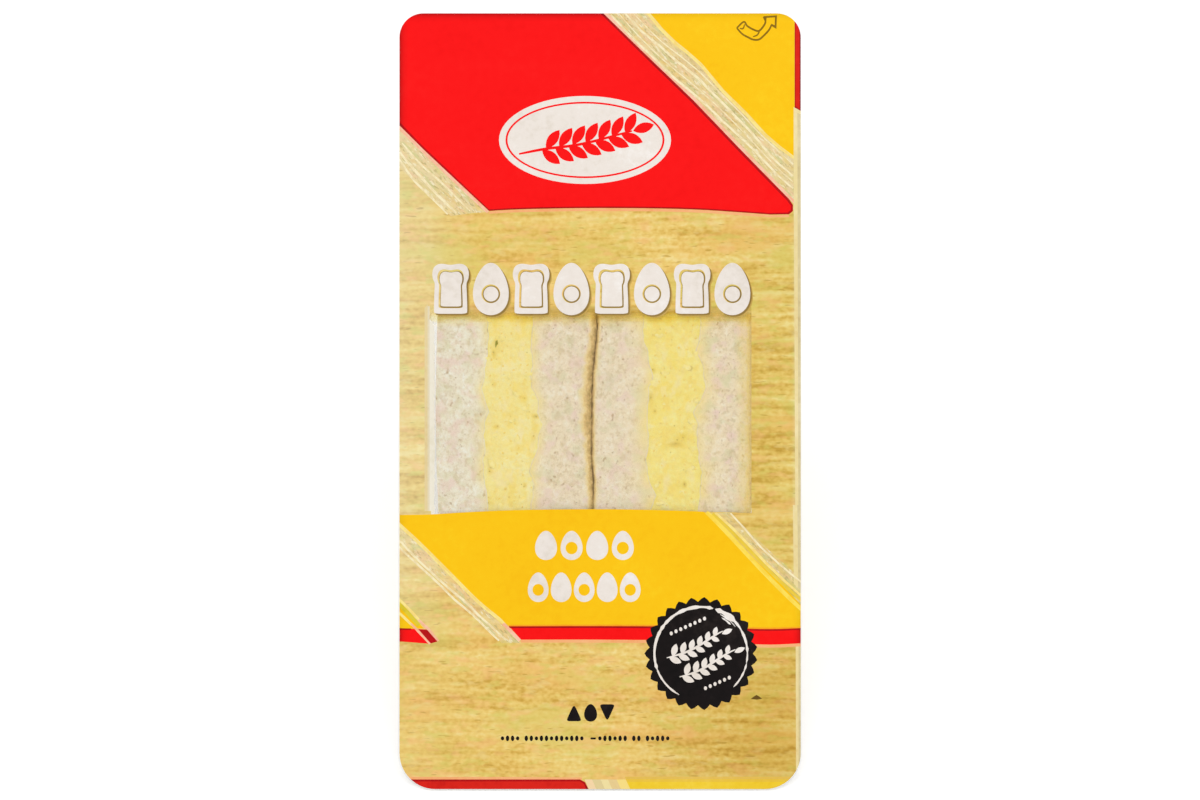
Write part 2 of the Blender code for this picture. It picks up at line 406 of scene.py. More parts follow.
def kraft_colour(t, chalk=0.0):
    """Printed kraft board: fine level grain along the face's width, warm and greenish drifts and short dark fibres,
    under a chalky wash where chalk is over 0. Returns colour, fibre and tone."""
    bend = t.noise(t.scaled(0.06, 0.14, 0.1), 1.0, 2.0, 0.5, kind="Color")
    n = t.nodes.new("ShaderNodeVectorMath")
    n.operation = "MULTIPLY_ADD"
    t.put(n.inputs[0], bend)
    n.inputs[1].default_value = (0.0, 0.25, 0.0)
    t.put(n.inputs[2], t.scaled(1.0, 1.0, 1.0))
    flow = n.outputs[0]

    def stretched(x, y, seed):
        m = t.nodes.new("ShaderNodeMapping")
        m.inputs["Scale"].default_value = (x, y, 1.0)
        m.inputs["Location"].default_value = (seed, seed * 1.7, 0)
        t.put(m.inputs["Vector"], flow)
        return m.outputs["Vector"]

    place = t.split(t.place)
    across = t.math("MULTIPLY_ADD", place["X"], 1 / (FACE_W * 0.001), 0.5)
    streak = t.noise(stretched(0.04, 0.52, 3.1), 1.0, 1.0, 0.5)
    fibre = t.noise(stretched(0.15, 1.1, 11.0), 1.0, 1.0, 0.5)
    grain = t.noise(stretched(0.80, 1.1, 17.0), 1.0, 1.0, 0.5)
    short = t.ramp(across, [(0.10, 0.25), (0.18, 0.37), (0.82, 0.37), (0.87, 0.25)], "LINEAR")
    tone = t.mix(short, t.mix(0.3333, streak, fibre), grain)
    up = t.math("MULTIPLY_ADD", place["Y"], 1 / (FACE_H * 0.001), 0.5)
    contrast = t.ramp(across, [(0.05, 0.46), (0.20, 0.47), (0.45, 0.51), (0.75, 0.53), (0.90, 0.63)], "LINEAR")
    calm = t.math("MULTIPLY", t.ramp(up, [(0.62, 0.0), (0.70, 0.28)], "LINEAR"), t.ramp(across, [(0.42, 1.0), (0.60, 0.0)], "LINEAR"))
    contrast = t.math("MULTIPLY", contrast, t.math("SUBTRACT", 1.0, calm))
    tone = t.math("MULTIPLY_ADD", t.math("MULTIPLY", t.math("SUBTRACT", tone, 0.5), contrast), 2.0, 0.5)
    colour = t.ramp(
        tone,
        [
            (0.35, linear(206, 162, 66)),
            (0.43, linear(224, 184, 90)),
            (0.50, linear(234, 198, 106)),
            (0.57, linear(240, 208, 121)),
            (0.66, linear(245, 221, 147)),
        ],
        "LINEAR",
    )
    warm = t.noise(stretched(0.045, 0.11, 23.0), 1.0, 2.0, 0.5)
    colour = t.mix(t.ramp(warm, [(0.50, 0.0), (0.72, 0.55)]), colour, linear(243, 190, 108))
    green = t.noise(stretched(0.05, 0.13, 47.0), 1.0, 2.0, 0.5)
    colour = t.mix(t.ramp(green, [(0.50, 0.0), (0.72, 0.55)]), colour, linear(220, 205, 104))
    # smaller blotches of the print's own screen
    peach = t.noise(stretched(0.17, 0.42, 61.0), 1.0, 2.0, 0.55)
    colour = t.mix(t.ramp(peach, [(0.52, 0.0), (0.70, 0.50)]), colour, linear(246, 192, 124))
    moss = t.noise(stretched(0.19, 0.46, 83.0), 1.0, 2.0, 0.55)
    colour = t.mix(t.ramp(moss, [(0.52, 0.0), (0.70, 0.50)]), colour, linear(216, 204, 102))
    straw = t.noise(stretched(0.24, 0.60, 71.0), 1.0, 2.0, 0.55)
    colour = t.mix(t.ramp(straw, [(0.54, 0.0), (0.72, 0.45)]), colour, linear(240, 214, 140))
    marks = t.noise(stretched(0.30, 1.7, 31.0), 1.0, 1.0, 0.5)
    colour = t.mix(t.ramp(marks, [(0.66, 0.0), (0.76, 0.6)]), colour, linear(190, 150, 58))
    # painted sheen: paler along the left edge, less so low down, and in a thin pale rim on the right; deeper at the
    # lower right
    high = t.ramp(up, [(0.17, 0.12), (0.30, 1.0)], "LINEAR")
    side = t.ramp(across, [(0.005, 1.0), (0.03, 0.85), (0.075, 0.75), (0.12, 0.35), (0.20, 0.0), (0.975, 0.0), (0.983, 0.8)], "LINEAR")
    colour = t.mix(t.math("MULTIPLY", side, high), colour, (0.004, 0.088, 0.138, 1), "ADD")
    cool = t.math("MULTIPLY", t.ramp(across, [(0.70, 0.0), (0.88, 0.8), (0.96, 0.8)], "LINEAR"), high)
    colour = t.mix(cool, colour, linear(246, 250, 238), "MULTIPLY")
    low_right = t.math("MULTIPLY", t.ramp(across, [(0.58, 0.0), (0.86, 1.0)], "LINEAR"), t.ramp(up, [(0.14, 1.0), (0.28, 0.0)], "LINEAR"))
    colour = t.mix(low_right, colour, linear(236, 230, 200), "MULTIPLY")
    if chalk:
        dust = t.noise(t.slanted(0.30, 1.1), 1.0, 3.0, 0.7)
        colour = t.mix(t.ramp(dust, [(0.3, chalk * 0.5), (0.7, min(1.0, chalk * 1.5))]), colour, linear(232, 215, 172))
        rosy = t.noise(t.slanted(0.16, 0.60, (4, 9, 2)), 1.0, 2.0, 0.5)
        colour = t.mix(t.ramp(rosy, [(0.52, 0.0), (0.66, 0.5)]), colour, linear(242, 202, 162))
        grey = t.noise(t.slanted(0.18, 0.66, (8, 1, 6)), 1.0, 2.0, 0.5)
        colour = t.mix(t.ramp(grey, [(0.52, 0.0), (0.66, 0.6)]), colour, linear(202, 204, 142))
        speck = t.noise(t.slanted(0.7, 2.0, (2, 5, 8)), 1.0, 2.0, 0.6)
        colour = t.mix(t.ramp(speck, [(0.56, 0.0), (0.70, 0.65)]), colour, linear(178, 162, 106))
        light = t.noise(t.slanted(0.6, 1.9, (6, 2, 3)), 1.0, 2.0, 0.6)
        colour = t.mix(t.ramp(light, [(0.56, 0.0), (0.70, 0.7)]), colour, linear(249, 240, 208))
        fine = t.noise(t.slanted(1.2, 2.4, (9, 6, 4)), 1.0, 2.0, 0.6)
        colour = t.mix(t.ramp(fine, [(0.58, 0.0), (0.72, 0.45)]), colour, linear(190, 170, 116))
    return colour, fibre, tone


def kraft_paper(name, chalk=0.0):
    t = Tree(name)
    colour, fibre, tone = kraft_colour(t, chalk)
    t.set(
        Base_Color=colour,
        Roughness=t.ramp(fibre, [(0.3, 0.42), (0.7, 0.54)]),
        Normal=t.bump(tone, 0.15, 0.0001, film_base(t)),
    )
    t.shader.inputs["Specular IOR Level"].default_value = 0.2
    return t.mat


def thinning_kraft(name, high, low):
    """The kraft print where it thins out into the window, from solid at the height high on the face to nothing at low, in mm."""
    t = Tree(name)
    colour, fibre, tone = kraft_colour(t)
    t.set(Base_Color=colour, Roughness=t.ramp(fibre, [(0.3, 0.42), (0.7, 0.54)]), Normal=film_base(t))
    t.shader.inputs["Specular IOR Level"].default_value = 0.13
    up = t.nodes.new("ShaderNodeSeparateXYZ")
    t.put(up.inputs[0], t.place)
    height = t.nodes.new("ShaderNodeMapRange")
    t.put(height.inputs["Value"], up.outputs["Y"])
    height.inputs["From Min"].default_value = low * 0.001
    height.inputs["From Max"].default_value = high * 0.001
    ragged = t.math("MULTIPLY_ADD", t.math("SUBTRACT", fibre, 0.5), 0.35, height.outputs["Result"])
    through = t.nodes.new("ShaderNodeBsdfTransparent")
    t.put(through.inputs["Color"], t.ramp(ragged, [(0.0, (0.99, 0.985, 0.97, 1)), (0.34, (0.99, 0.925, 0.55, 1)), (0.8, (0.98, 0.87, 0.42, 1))], "LINEAR"))
    mix = t.nodes.new("ShaderNodeMixShader")
    t.put(mix.inputs[0], t.ramp(ragged, [(0.05, 0.0), (0.34, 0.14), (0.66, 0.62), (0.94, 1.0)], "LINEAR"))
    t.put(mix.inputs[1], through.outputs[0])
    t.put(mix.inputs[2], t.shader.outputs[0])
    t.put(t.out.inputs["Surface"], mix.outputs[0])
    return t.mat


def mirror_share(t, least, normal=None):
    """How much a thin clear sheet mirrors at each angle, alike from both sides."""
    facing = t.nodes.new("ShaderNodeLayerWeight")
    facing.inputs["Blend"].default_value = 0.5
    if normal is not None:
        t.put(facing.inputs["Normal"], normal)
    share = t.math("MULTIPLY_ADD", t.math("POWER", facing.outputs["Facing"], 5.0), 1 - least, least)
    return t.math("MINIMUM", share, 0.34)


def clear_plastic(name, tint, rough, least=0.04, waviness=0.0, haze=0.0):
    """Thin clear sheet: what is behind it shows straight through, it mirrors by angle, and seen along
    its surface it takes on a little of the plastic's own haze."""
    t = Tree(name)
    t.nodes.remove(t.shader)
    normal = None
    if waviness:
        normal = t.bump(t.noise(t.scaled(0.08, 0.08, 0.08), 1.0, 2.0, 0.5), waviness, 0.001)
    through = t.nodes.new("ShaderNodeBsdfTransparent")
    through.inputs["Color"].default_value = tint
    gloss = t.nodes.new("ShaderNodeBsdfGlossy")
    gloss.inputs["Roughness"].default_value = rough
    gloss.inputs["Color"].default_value = (1, 1, 1, 1)
    if normal is not None:
        t.put(gloss.inputs["Normal"], normal)
    body = through.outputs[0]
    if haze:
        milky = t.nodes.new("ShaderNodeBsdfTranslucent")
        milky.inputs["Color"].default_value = (1.0, 0.985, 0.93, 1)
        facing = t.nodes.new("ShaderNodeLayerWeight")
        facing.inputs["Blend"].default_value = 0.5
        cloud = t.nodes.new("ShaderNodeMixShader")
        t.put(cloud.inputs[0], t.math("MULTIPLY_ADD", t.math("POWER", facing.outputs["Facing"], 8.0), haze, 0.008))
        t.put(cloud.inputs[1], body)
        t.put(cloud.inputs[2], milky.outputs[0])
        body = cloud.outputs[0]
    mix = t.nodes.new("ShaderNodeMixShader")
    t.put(mix.inputs[0], mirror_share(t, least, normal))
    t.put(mix.inputs[1], body)
    t.put(mix.inputs[2], gloss.outputs[0])
    t.put(t.out.inputs["Surface"], mix.outputs[0])
    return t.mat


def crumb_material(name, paler=0, mottle=1.0, straw=0):
    """Soft sandwich crumb, mottled, with bran flecks, and a golden crust where the crust value is high."""
    t = Tree(name)
    cloud = t.noise(t.scaled(0.20, 0.20, 0.20), 1.0, 3.0, 0.55)
    grain = t.noise(t.scaled(1.1, 1.0, 1.1), 1.0, 4.0, 0.62)
    crumb = t.ramp(
        t.mix(0.62, cloud, grain),
        [
            (0.37, linear(230, 210 + paler // 2, 172 + paler)),
            (0.5, linear(245, 229 + paler // 2, 198 + paler)),
            (0.63, linear(251, 240 + paler // 2, 217 + paler)),
        ],
    )
    rosy = t.noise(t.scaled(0.28, 0.28, 0.28, (5, 1, 2)), 1.0, 2.0, 0.5)
    crumb = t.mix(t.ramp(rosy, [(0.48, 0.0), (0.68, min(0.95, 0.75 * mottle))]), crumb, linear(242, 216, 201))
    green = t.noise(t.scaled(0.26, 0.26, 0.26, (1, 6, 3)), 1.0, 2.0, 0.5)
    crumb = t.mix(t.ramp(green, [(0.50, 0.0), (0.70, min(0.9, 0.65 * mottle))]), crumb, linear(228, 220, 180))
    stipple = t.noise(t.scaled(1.5, 1.25, 1.5, (6, 3, 8)), 1.0, 2.0, 0.5)
    crumb = t.mix(t.ramp(stipple, [(0.56, 0.0), (0.72, 0.42 * mottle)]), crumb, linear(212, 186, 146))
    spots = t.noise(t.scaled(0.62, 0.55, 0.62, (4, 4, 1)), 1.0, 2.0, 0.55)
    crumb = t.mix(t.ramp(spots, [(0.56, 0.0), (0.72, 0.45 * mottle)]), crumb, linear(214, 196, 152))
    # darker with the pores' depth: painted shade in the pores
    crumb = t.mix(t.ramp(t.value("pore"), [(0.1, 0.0), (0.9, 0.40)]), crumb, linear(216, 192, 150))
    # open crumb on the slices' flat faces, closed on the cut; the holes are darkened, a painted shade in them
    holes = t.voronoi(t.scaled(0.62, 0.62, 0.62, (3, 3, 3)), 1.0)
    small = t.voronoi(t.scaled(1.3, 1.3, 1.3, (1, 8, 4)), 1.0)
    cell = t.math("MAXIMUM", t.ramp(holes, [(0.10, 1.0), (0.30, 0.0)]), t.math("MULTIPLY", t.ramp(small, [(0.12, 1.0), (0.34, 0.0)]), 0.7))
    cell = t.math("MULTIPLY", cell, t.value("open"))
    crumb = t.mix(t.math("MULTIPLY", cell, 0.62), crumb, linear(202, 172, 122))
    fleck = t.noise(t.scaled(0.95, 0.70, 0.95, (9, 2, 4)), 1.0, 1.0, 0.4)
    crumb = t.mix(t.ramp(fleck, [(0.68, 0.0), (0.80, 0.65)]), crumb, linear(186, 152, 108))
    bran = t.noise(t.scaled(1.9, 1.9, 1.9, (2, 7, 5)), 1.0, 1.0, 0.4)
    crumb = t.mix(t.ramp(bran, [(0.72, 0.0), (0.82, 0.6)]), crumb, linear(160, 124, 82))
    bake = t.noise(t.scaled(0.10, 0.10, 0.10, (3, 8, 1)), 1.0, 4.0, 0.6)
    skin = t.noise(t.scaled(0.75, 0.75, 0.75, (8, 3, 5)), 1.0, 5.0, 0.7)
    crust = t.ramp(
        t.mix(0.42, bake, skin),
        [(0.34, linear(146, 96, 46)), (0.45, linear(176, 126, 66)), (0.53, linear(196, 150, 88)), (0.64, linear(222, 184, 124))],
    )
    # pinholes in the crust drawn darker: painted shade in them
    pinholes = t.voronoi(t.scaled(0.85, 0.85, 0.85, (5, 5, 9)), 1.0)
    crust = t.mix(t.ramp(pinholes, [(0.10, 0.65), (0.22, 0.0)]), crust, linear(122, 78, 38))
    crumb = t.mix(t.ramp(t.value("soak"), [(0.0, 0.0), (1.0, 0.85)], "LINEAR"), crumb, linear(254, 231, 148))
    uneven = t.math("MULTIPLY", t.math("SUBTRACT", grain, 0.5), 0.4)
    edge = t.math("ADD", t.value("crust"), uneven)
    colour = t.mix(t.ramp(edge, [(0.05, 0.0), (0.95, 1.0)], "LINEAR"), crumb, crust)
    # browned along some edges of the cut and on the faces behind them: straw, then tan, then brown
    browning = t.value("browning")
    browning = t.math("MULTIPLY_ADD", t.math("MULTIPLY", uneven, browning), 1.2, browning)
    torn = t.math("SUBTRACT", t.noise(t.scaled(1.15, 0.75, 1.15, (2, 2, 6)), 1.0, 3.0, 0.65), 0.5)
    browning = t.math("MULTIPLY_ADD", t.math("MULTIPLY", torn, browning), 1.9, browning)
    browned = t.ramp(browning, [(0.0, linear(250, 224, 148 - straw)), (0.35, linear(243, 214, 142 - straw)), (0.5, linear(228, 194, 128)),
                             (0.7, linear(208, 174, 107)), (1.0, linear(170, 139, 75))], "LINEAR")
    colour = t.mix(t.ramp(browning, [(0.0, 0.0), (0.15, 0.4), (0.35, 0.85), (0.5, 1.0)], "LINEAR"), colour, browned)
    fine = t.noise(t.scaled(3.2, 3.2, 3.2), 1.0, 3.0, 0.7)
    t.set(
        Base_Color=colour,
        Roughness=t.ramp(t.value("crust"), [(0.0, 0.93), (1.0, 0.62)]),
        Normal=t.bump(t.math("MULTIPLY", skin, t.value("crust")), 0.55, 0.0006, t.bump(cell, -0.6, 0.0004, t.bump(fine, 0.35, 0.0002))),
    )
    t.shader.inputs["Specular IOR Level"].default_value = 0.25
    t.shader.inputs["Subsurface Weight"].default_value = 0.12
    t.shader.inputs["Subsurface Radius"].default_value = (1.0, 0.65, 0.4)
    t.shader.inputs["Subsurface Scale"].default_value = 0.0012
    return t.mat


def egg_material(name, richer=0):
    """Mashed egg in dressing: creamy yellow, with paler bits of white and deeper crumbs of yolk."""
    t = Tree(name)
    cloud = t.noise(t.scaled(0.16, 0.16, 0.16), 1.0, 3.0, 0.55)
    grain = t.noise(t.scaled(1.3, 1.3, 1.3), 1.0, 3.0, 0.6)
    colour = t.ramp(
        t.mix(0.45, cloud, grain),
        [(0.36, linear(253, 228, 128 - richer)), (0.5, linear(255, 236 - richer // 6, 150 - richer)), (0.64, linear(255, 241, 172 - richer))],
    )
    deep = t.noise(t.scaled(0.36, 0.22, 0.36, (2, 3, 7)), 1.0, 2.0, 0.5)
    colour = t.mix(t.ramp(deep, [(0.50, 0.0), (0.70, 0.65)]), colour, linear(255, 226, 112))
    pale = t.noise(t.scaled(0.30, 0.20, 0.30, (7, 5, 1)), 1.0, 2.0, 0.5)
    colour = t.mix(t.ramp(pale, [(0.52, 0.0), (0.70, 0.6)]), colour, linear(254, 236, 176))
    colour = t.mix(t.ramp(t.value("white"), [(0.1, 0.0), (0.9, 0.34)]), colour, linear(255, 242, 190))
    colour = t.mix(t.ramp(t.value("yolk"), [(0.1, 0.0), (0.9, 0.35)]), colour, linear(253, 224, 112))
    # darker in the creases between curds: painted shade
    colour = t.mix(t.ramp(t.value("crease"), [(0.1, 0.0), (1.0, 0.28)]), colour, linear(240, 206, 104))
    stain = t.math("MULTIPLY_ADD", t.math("SUBTRACT", grain, 0.5), 0.3, t.value("stain"))
    colour = t.mix(t.ramp(stain, [(0.08, 0.0), (0.5, 0.55), (1.0, 0.95)], "LINEAR"), colour,
                   t.ramp(stain, [(0.2, linear(247, 216, 84)), (0.45, linear(240, 207, 70)), (0.9, linear(208, 176, 58))], "LINEAR"))
    t.set(
        Base_Color=colour,
        Roughness=t.ramp(grain, [(0.3, 0.40), (0.7, 0.62)]),
        Normal=t.bump(grain, 0.3, 0.0002),
    )
    t.shader.inputs["Specular IOR Level"].default_value = 0.35
    t.shader.inputs["Subsurface Weight"].default_value = 0.15
    t.shader.inputs["Subsurface Radius"].default_value = (1.0, 0.75, 0.3)
    t.shader.inputs["Subsurface Scale"].default_value = 0.0012
    return t.mat


def bit_material(name, low, high, rough=0.5):
    """Small bits in the filling: egg white, yolk or herb."""
    t = Tree(name)
    tone = t.noise(t.scaled(0.9, 0.9, 0.9), 1.0, 3.0, 0.6)
    t.set(
        Base_Color=t.ramp(tone, [(0.35, linear(*low)), (0.65, linear(*high))]),
        Roughness=t.ramp(tone, [(0.3, rough - 0.06), (0.7, rough + 0.08)]),
        Normal=t.bump(t.noise(t.scaled(3.0, 3.0, 3.0), 1.0, 2.0, 0.6), 0.25, 0.0001),
    )
    t.shader.inputs["Specular IOR Level"].default_value = 0.15
    return t.mat


# the rim colours given here are painted shade along the film's outer edge
RED = ink("ink_red", (254, 6, 9), (250, 3, 6), (255, 14, 14), rim=(196, 210, 214))
RED_DEEP = ink("ink_red_deep", (220, 30, 16), (206, 22, 12), (228, 40, 24))
RED_RIM = ink("ink_red_rim", (182, 5, 12), (166, 4, 10), (200, 12, 18), rim=(196, 210, 214))
PEACH = ink("ink_peach", (249, 180, 122), (246, 166, 104), (251, 194, 140))
AMBER = ink("ink_amber", (251, 166, 30), (249, 150, 26), (253, 180, 36))
YELLOW = ink("ink_yellow", (254, 199, 8), (252, 193, 4), (255, 206, 18), rim=(238, 240, 246))
YELLOW_FOOT = ink("ink_yellow_foot", (243, 205, 46), (236, 194, 34), (248, 214, 66))
YELLOW_DULL = ink("ink_yellow_dull", (226, 204, 56), (212, 188, 40), (238, 216, 80))
YELLOW_SOFT = ink("ink_yellow_soft", (238, 204, 66), (230, 192, 52), (244, 214, 86))
PALE = worn_ink("ink_pale", (251, 238, 196), (232, 208, 150), 0.75)
ROSY = worn_ink("ink_rosy", (252, 200, 170), (246, 176, 136), 0.8, 0.3, 0.9)
PALE_BRIGHT = worn_ink("ink_pale_bright", (255, 226, 92), (251, 210, 60), 0.7, 0.3, 0.9)
PALE_YELLOW = worn_ink("ink_pale_yellow", (253, 232, 144), (246, 212, 118), 0.8, 0.35, 1.0)
SAND = ink("ink_sand", (238, 219, 158), (228, 200, 132), (246, 230, 178), grain=0.35)
SAND_DULL = ink("ink_sand_dull", (218, 201, 150), (202, 178, 124), (232, 216, 172), grain=0.45)
FRINGE = ink("ink_fringe", (232, 211, 158), (226, 202, 144), (238, 219, 172), grain=0.8)
FRINGE_PALE = ink("ink_fringe_pale", (232, 218, 184), (226, 210, 170), (238, 226, 198), grain=0.8)
# white print along the window's left edge, and a painted highlight of the tray's clear wall
FRINGE_WHITE_AND_HIGHLIGHT = ink("ink_fringe_white_and_highlight", (240, 233, 214), (233, 225, 202), (245, 239, 225), grain=0.7)
KNOT = ink("ink_knot", (112, 84, 30), (96, 70, 22), (134, 104, 44))
FOOT_1 = ink("ink_foot_1", (230, 190, 84), (226, 184, 74), (234, 196, 96))
FOOT_2 = ink("ink_foot_2", (236, 196, 64), (231, 189, 52), (241, 203, 78))
WHITE = ink("ink_white", (240, 231, 222), (230, 220, 208), (248, 242, 236))
BLACK = ink("ink_black", (17, 10, 10), (10, 6, 6), (34, 26, 24))
OLIVE = ink("ink_olive", (138, 104, 14), (118, 86, 8), (160, 122, 22))
SHADE = ink("ink_shade", (150, 122, 60), (132, 104, 46), (170, 142, 76))
SHADE_SOFT = ink("ink_shade_soft", (200, 164, 84), (188, 152, 72), (212, 178, 102))
KRAFT = kraft_paper("kraft_print")
BACKING = ink("film_backing", (226, 222, 214), (216, 211, 202), (236, 233, 227), 0.5)
WINDOW = clear_plastic("film_window", (0.99, 0.99, 0.985, 1), 0.08, 0.03)
TRAY = clear_plastic("tray_clear", (0.978, 0.98, 0.978, 1), 0.05, 0.045, 0.25, 1.1)
THINNING = thinning_kraft("kraft_thinning", 22.6, 17.9)
KRAFT_PALE = kraft_paper("kraft_chalky", 0.5)
KRAFT_FAINT = kraft_paper("kraft_faintly_chalky", 0.28)
BREADS = (
    crumb_material("bread_crumb_1", 15), crumb_material("bread_crumb_2", 1), crumb_material("bread_crumb_3", 1, 0.9),
    crumb_material("bread_crumb_4", -2, 1.5, 20),
)
EGGS = (egg_material("egg_salad_paler"), egg_material("egg_salad_richer", 17))
BIT_WHITE = bit_material("egg_white_bits", (254, 234, 142), (255, 239, 162), 0.72)
BIT_YOLK = bit_material("yolk_crumbs", (250, 218, 110), (254, 228, 132), 0.62)
BIT_HERB = bit_material("herb_flecks", (150, 144, 36), (178, 168, 56), 0.6)
BIT_SPICE = bit_material("spice_flecks", (186, 156, 56), (214, 186, 84), 0.6)


# ============================================================================
# The film: print laid out in the photograph's pixels, cut into the curved sheet
# ============================================================================
SCALE = 0.2313
CENTRE = (600.1, 401.2)


def at(x, y):
    """Place on the face, in mm, of a pixel of the photograph's 1200 x 800 frame."""
    return ((x - CENTRE[0]) * SCALE, (CENTRE[1] - y) * SCALE)


def face_outline(inset, steps):
    a, b = FACE_W / 2 - inset, FACE_H / 2 - inset
    points = []
    for k, (sx, sy) in enumerate(((1, 1), (-1, 1), (-1, -1), (1, -1))):
        r = (FACE_R_TOP if sy > 0 else FACE_R_BOTTOM) - inset
        for i in range(steps + 1):
            t = math.pi / 2 * (k + i / steps)
            points.append((sx * (a - r) + r * math.cos(t), sy * (b - r) + r * math.sin(t)))
    return points


def curve(points, steps=6):
    """A smooth line through the points."""
    p = [np.array(q, float) for q in points]
    p = [2 * p[0] - p[1]] + p + [2 * p[-1] - p[-2]]
    out = []
    for a, b, c, d in zip(p, p[1:], p[2:], p[3:]):
        for i in range(steps):
            t = i / steps
            out.append(0.5 * (2 * b + (c - a) * t + (2 * a - 5 * b + 4 * c - d) * t * t + (3 * b - a - 3 * c + d) * t**3))
    return [tuple(q) for q in out] + [tuple(p[-2])]


def stroke(points, width, taper=0.0):
    """The outline of a line of the given width, narrowed at its ends by taper of their width."""
    p = np.array(points, float)
    d = np.gradient(p, axis=0)
    d /= np.linalg.norm(d, axis=1)[:, None]
    n = np.stack([-d[:, 1], d[:, 0]], 1)
    t = np.linspace(-1, 1, len(p))
    w = width / 2 * (1 - taper * np.abs(t) ** 3)[:, None]
    return [tuple(q) for q in p + n * w] + [tuple(q) for q in (p - n * w)[::-1]]


def ellipse(x, y, a, b, steps=28, turn=0.0):
    c, s = math.cos(turn), math.sin(turn)
    out = []
    for i in range(steps):
        t = 2 * math.pi * i / steps
        u, v = a * math.cos(t), b * math.sin(t)
        out.append((x + u * c - v * s, y + u * s + v * c))
    return out


def rounded(corners, r, steps=5):
    """A polygon with its corners rounded by r."""
    out, n = [], len(corners)
    for i in range(n):
        a, b, c = (np.array(corners[(i + k) % n], float) for k in (-1, 0, 1))
        p, q = (a - b) / np.linalg.norm(a - b), (c - b) / np.linalg.norm(c - b)
        half = math.acos(np.clip(p @ q, -1, 1)) / 2
        reach = r / math.tan(half)
        start, end = b + p * reach, b + q * reach
        for k in range(steps + 1):
            t = k / steps
            out.append(tuple((1 - t) ** 2 * start + 2 * t * (1 - t) * b + t * t * end))
    return out


def leaf(x, y, length, width, turn, steps=7):
    """An almond shape from its foot at x, y."""
    c, s = math.cos(turn), math.sin(turn)
    side = [(length * k / steps, width / 2 * math.sin(math.pi * k / steps) ** 0.8) for k in range(steps + 1)]
    ring = side + [(u, -v) for u, v in side[-2:0:-1]]
    return [(x + u * c - v * s, y + u * s + v * c) for u, v in ring]


def moved(points, dx, dy):
    return [(x + dx, y + dy) for x, y in points]


prints = []  # (material, outline in the photograph's pixels), lowest first


def lay(material, outline):
    prints.append((material, outline))


# --- the top field, its two diagonal strips and the yellow corner
lay(KRAFT_PALE, [(380, 100), (402, 127), (487, 212), (473, 213), (451, 216), (425, 192), (404, 172), (380, 150)])
lay(KRAFT_PALE, [(590, 0), (650, 0), (794.5, 159), (794.5, 203)])
field_bottom = curve([(489, 211), (520, 209.4), (580, 208.2), (650, 208.4), (700, 209.8), (740, 212.4), (770, 214.6)], 5)
lay(PEACH, stroke(moved(field_bottom + [(789, 214.4)], 0, 1.6), 2.8, 0.2))
left_diagonal = [(400.5, 126.5), (424, 150), (450, 174.5), (489, 211)]
right_diagonal = [(603, 13), (641, 50), (693, 100), (741, 150), (789, 199)]
lay(ROSY, stroke(moved([(396, 122)] + left_diagonal, -1.0, 1.2), 3.2, 0.1))
lay(ROSY, stroke(moved([(598, 8)] + right_diagonal + [(794, 204)], 1.2, -1.0), 3.2, 0.1))
lay(RED_RIM, [(603, 0)] + right_diagonal + [(793, 205), (793, 211), (789, 214.4)]
    + field_bottom[::-1] + left_diagonal[::-1] + [(380, 108), (380, 0)])
lay(RED, [(600.4, 0), (600.4, 13.6), (638.7, 51.3), (690.6, 101.4), (738.6, 151.4), (786.6, 200.2), (790.8, 205.8), (790.8, 210.0), (787.6, 212.6)]
    + moved(field_bottom, 0, -1.6)[::-1] + [(450.4, 172.2), (424.4, 147.6), (401.5, 124.0), (380, 105), (380, 0)])
lay(YELLOW, [(644, 0), (650, 13), (663, 28.7), (675.5, 41), (688, 51), (702, 63.5), (724, 90), (747, 112.5), (767, 134.5), (781, 146.5), (794.5, 156.5),
             (794.5, 0)])
lay(PALE_YELLOW, stroke([(642, 8), (648.9, 14.4), (661.8, 30.0), (674.4, 42.4), (687, 52.4), (701, 64.8), (722.8, 91.2), (745.8, 113.8), (765.8, 135.8), (780, 147.8),
                         (794.5, 158.2)], 3.2, 0.1))
lay(RED_RIM, [(794.6, 20), (810, 20), (810, 113), (800, 112), (794.6, 107.4)])
lay(RED_DEEP, [(795.4, 20), (799.6, 20), (799.6, 109.6), (795.4, 106)])
lay(SAND, [(793.6, 107), (810, 116), (810, 770), (796.0, 770), (795.2, 500), (793.8, 215), (793.6, 130)])
lay(SAND_DULL, [(797.4, 113), (810, 118), (810, 770), (798.6, 770), (798.4, 500), (797.6, 215)])
for points, width, mat in (
    (((611, 15), (624, 29), (640, 45), (655, 59), (672, 76), (693, 93.5), (709, 107.5), (723, 121.5), (737, 134), (753, 149), (770, 167), (781, 178),
      (793, 188.5)), 2.3, PALE),
    (((625.5, 14), (634, 23.5), (643, 32.5), (653, 40.5), (663, 48.7), (675.5, 60), (688, 70), (700.5, 80.5), (707, 92.6 - 5), (723, 105.4 - 2), (737, 118),
      (750, 131), (758.6, 141), (765.7, 149.7), (775.7, 161), (793, 176)), 2.4, PALE),
    (((619, 14), (634, 31), (650, 47.5), (668, 64), (690, 82), (710, 99.5), (728, 116.5), (746, 135), (762, 152), (778, 168.5), (793, 182)), 1.1, PALE),
    (((634, 14), (647, 27.5), (662, 42), (682, 57.5), (700, 72.5), (718, 90.5), (741, 113.5), (760, 134), (776, 149), (793, 164.5)), 1.2, PALE),
):
    lay(mat, stroke(curve(points, 3), width, 0.3))
lay(PALE, stroke(curve([(402, 143), (407.3, 149), (422, 165.7), (440.6, 181.8), (456.3, 197.6), (470, 211)], 4), 2.0, 0.5))
lay(PALE, stroke(curve([(400, 152), (405, 159), (417.7, 173.4), (432.4, 189.6), (446.3, 203.4), (456.3, 212.9)], 4), 2.6, 0.3))
lay(PALE, stroke(curve([(399, 158.5), (403, 165), (414.9, 181.4), (427.7, 194.0), (440.6, 206.7), (447.7, 214.3)], 4), 2.2, 0.3))

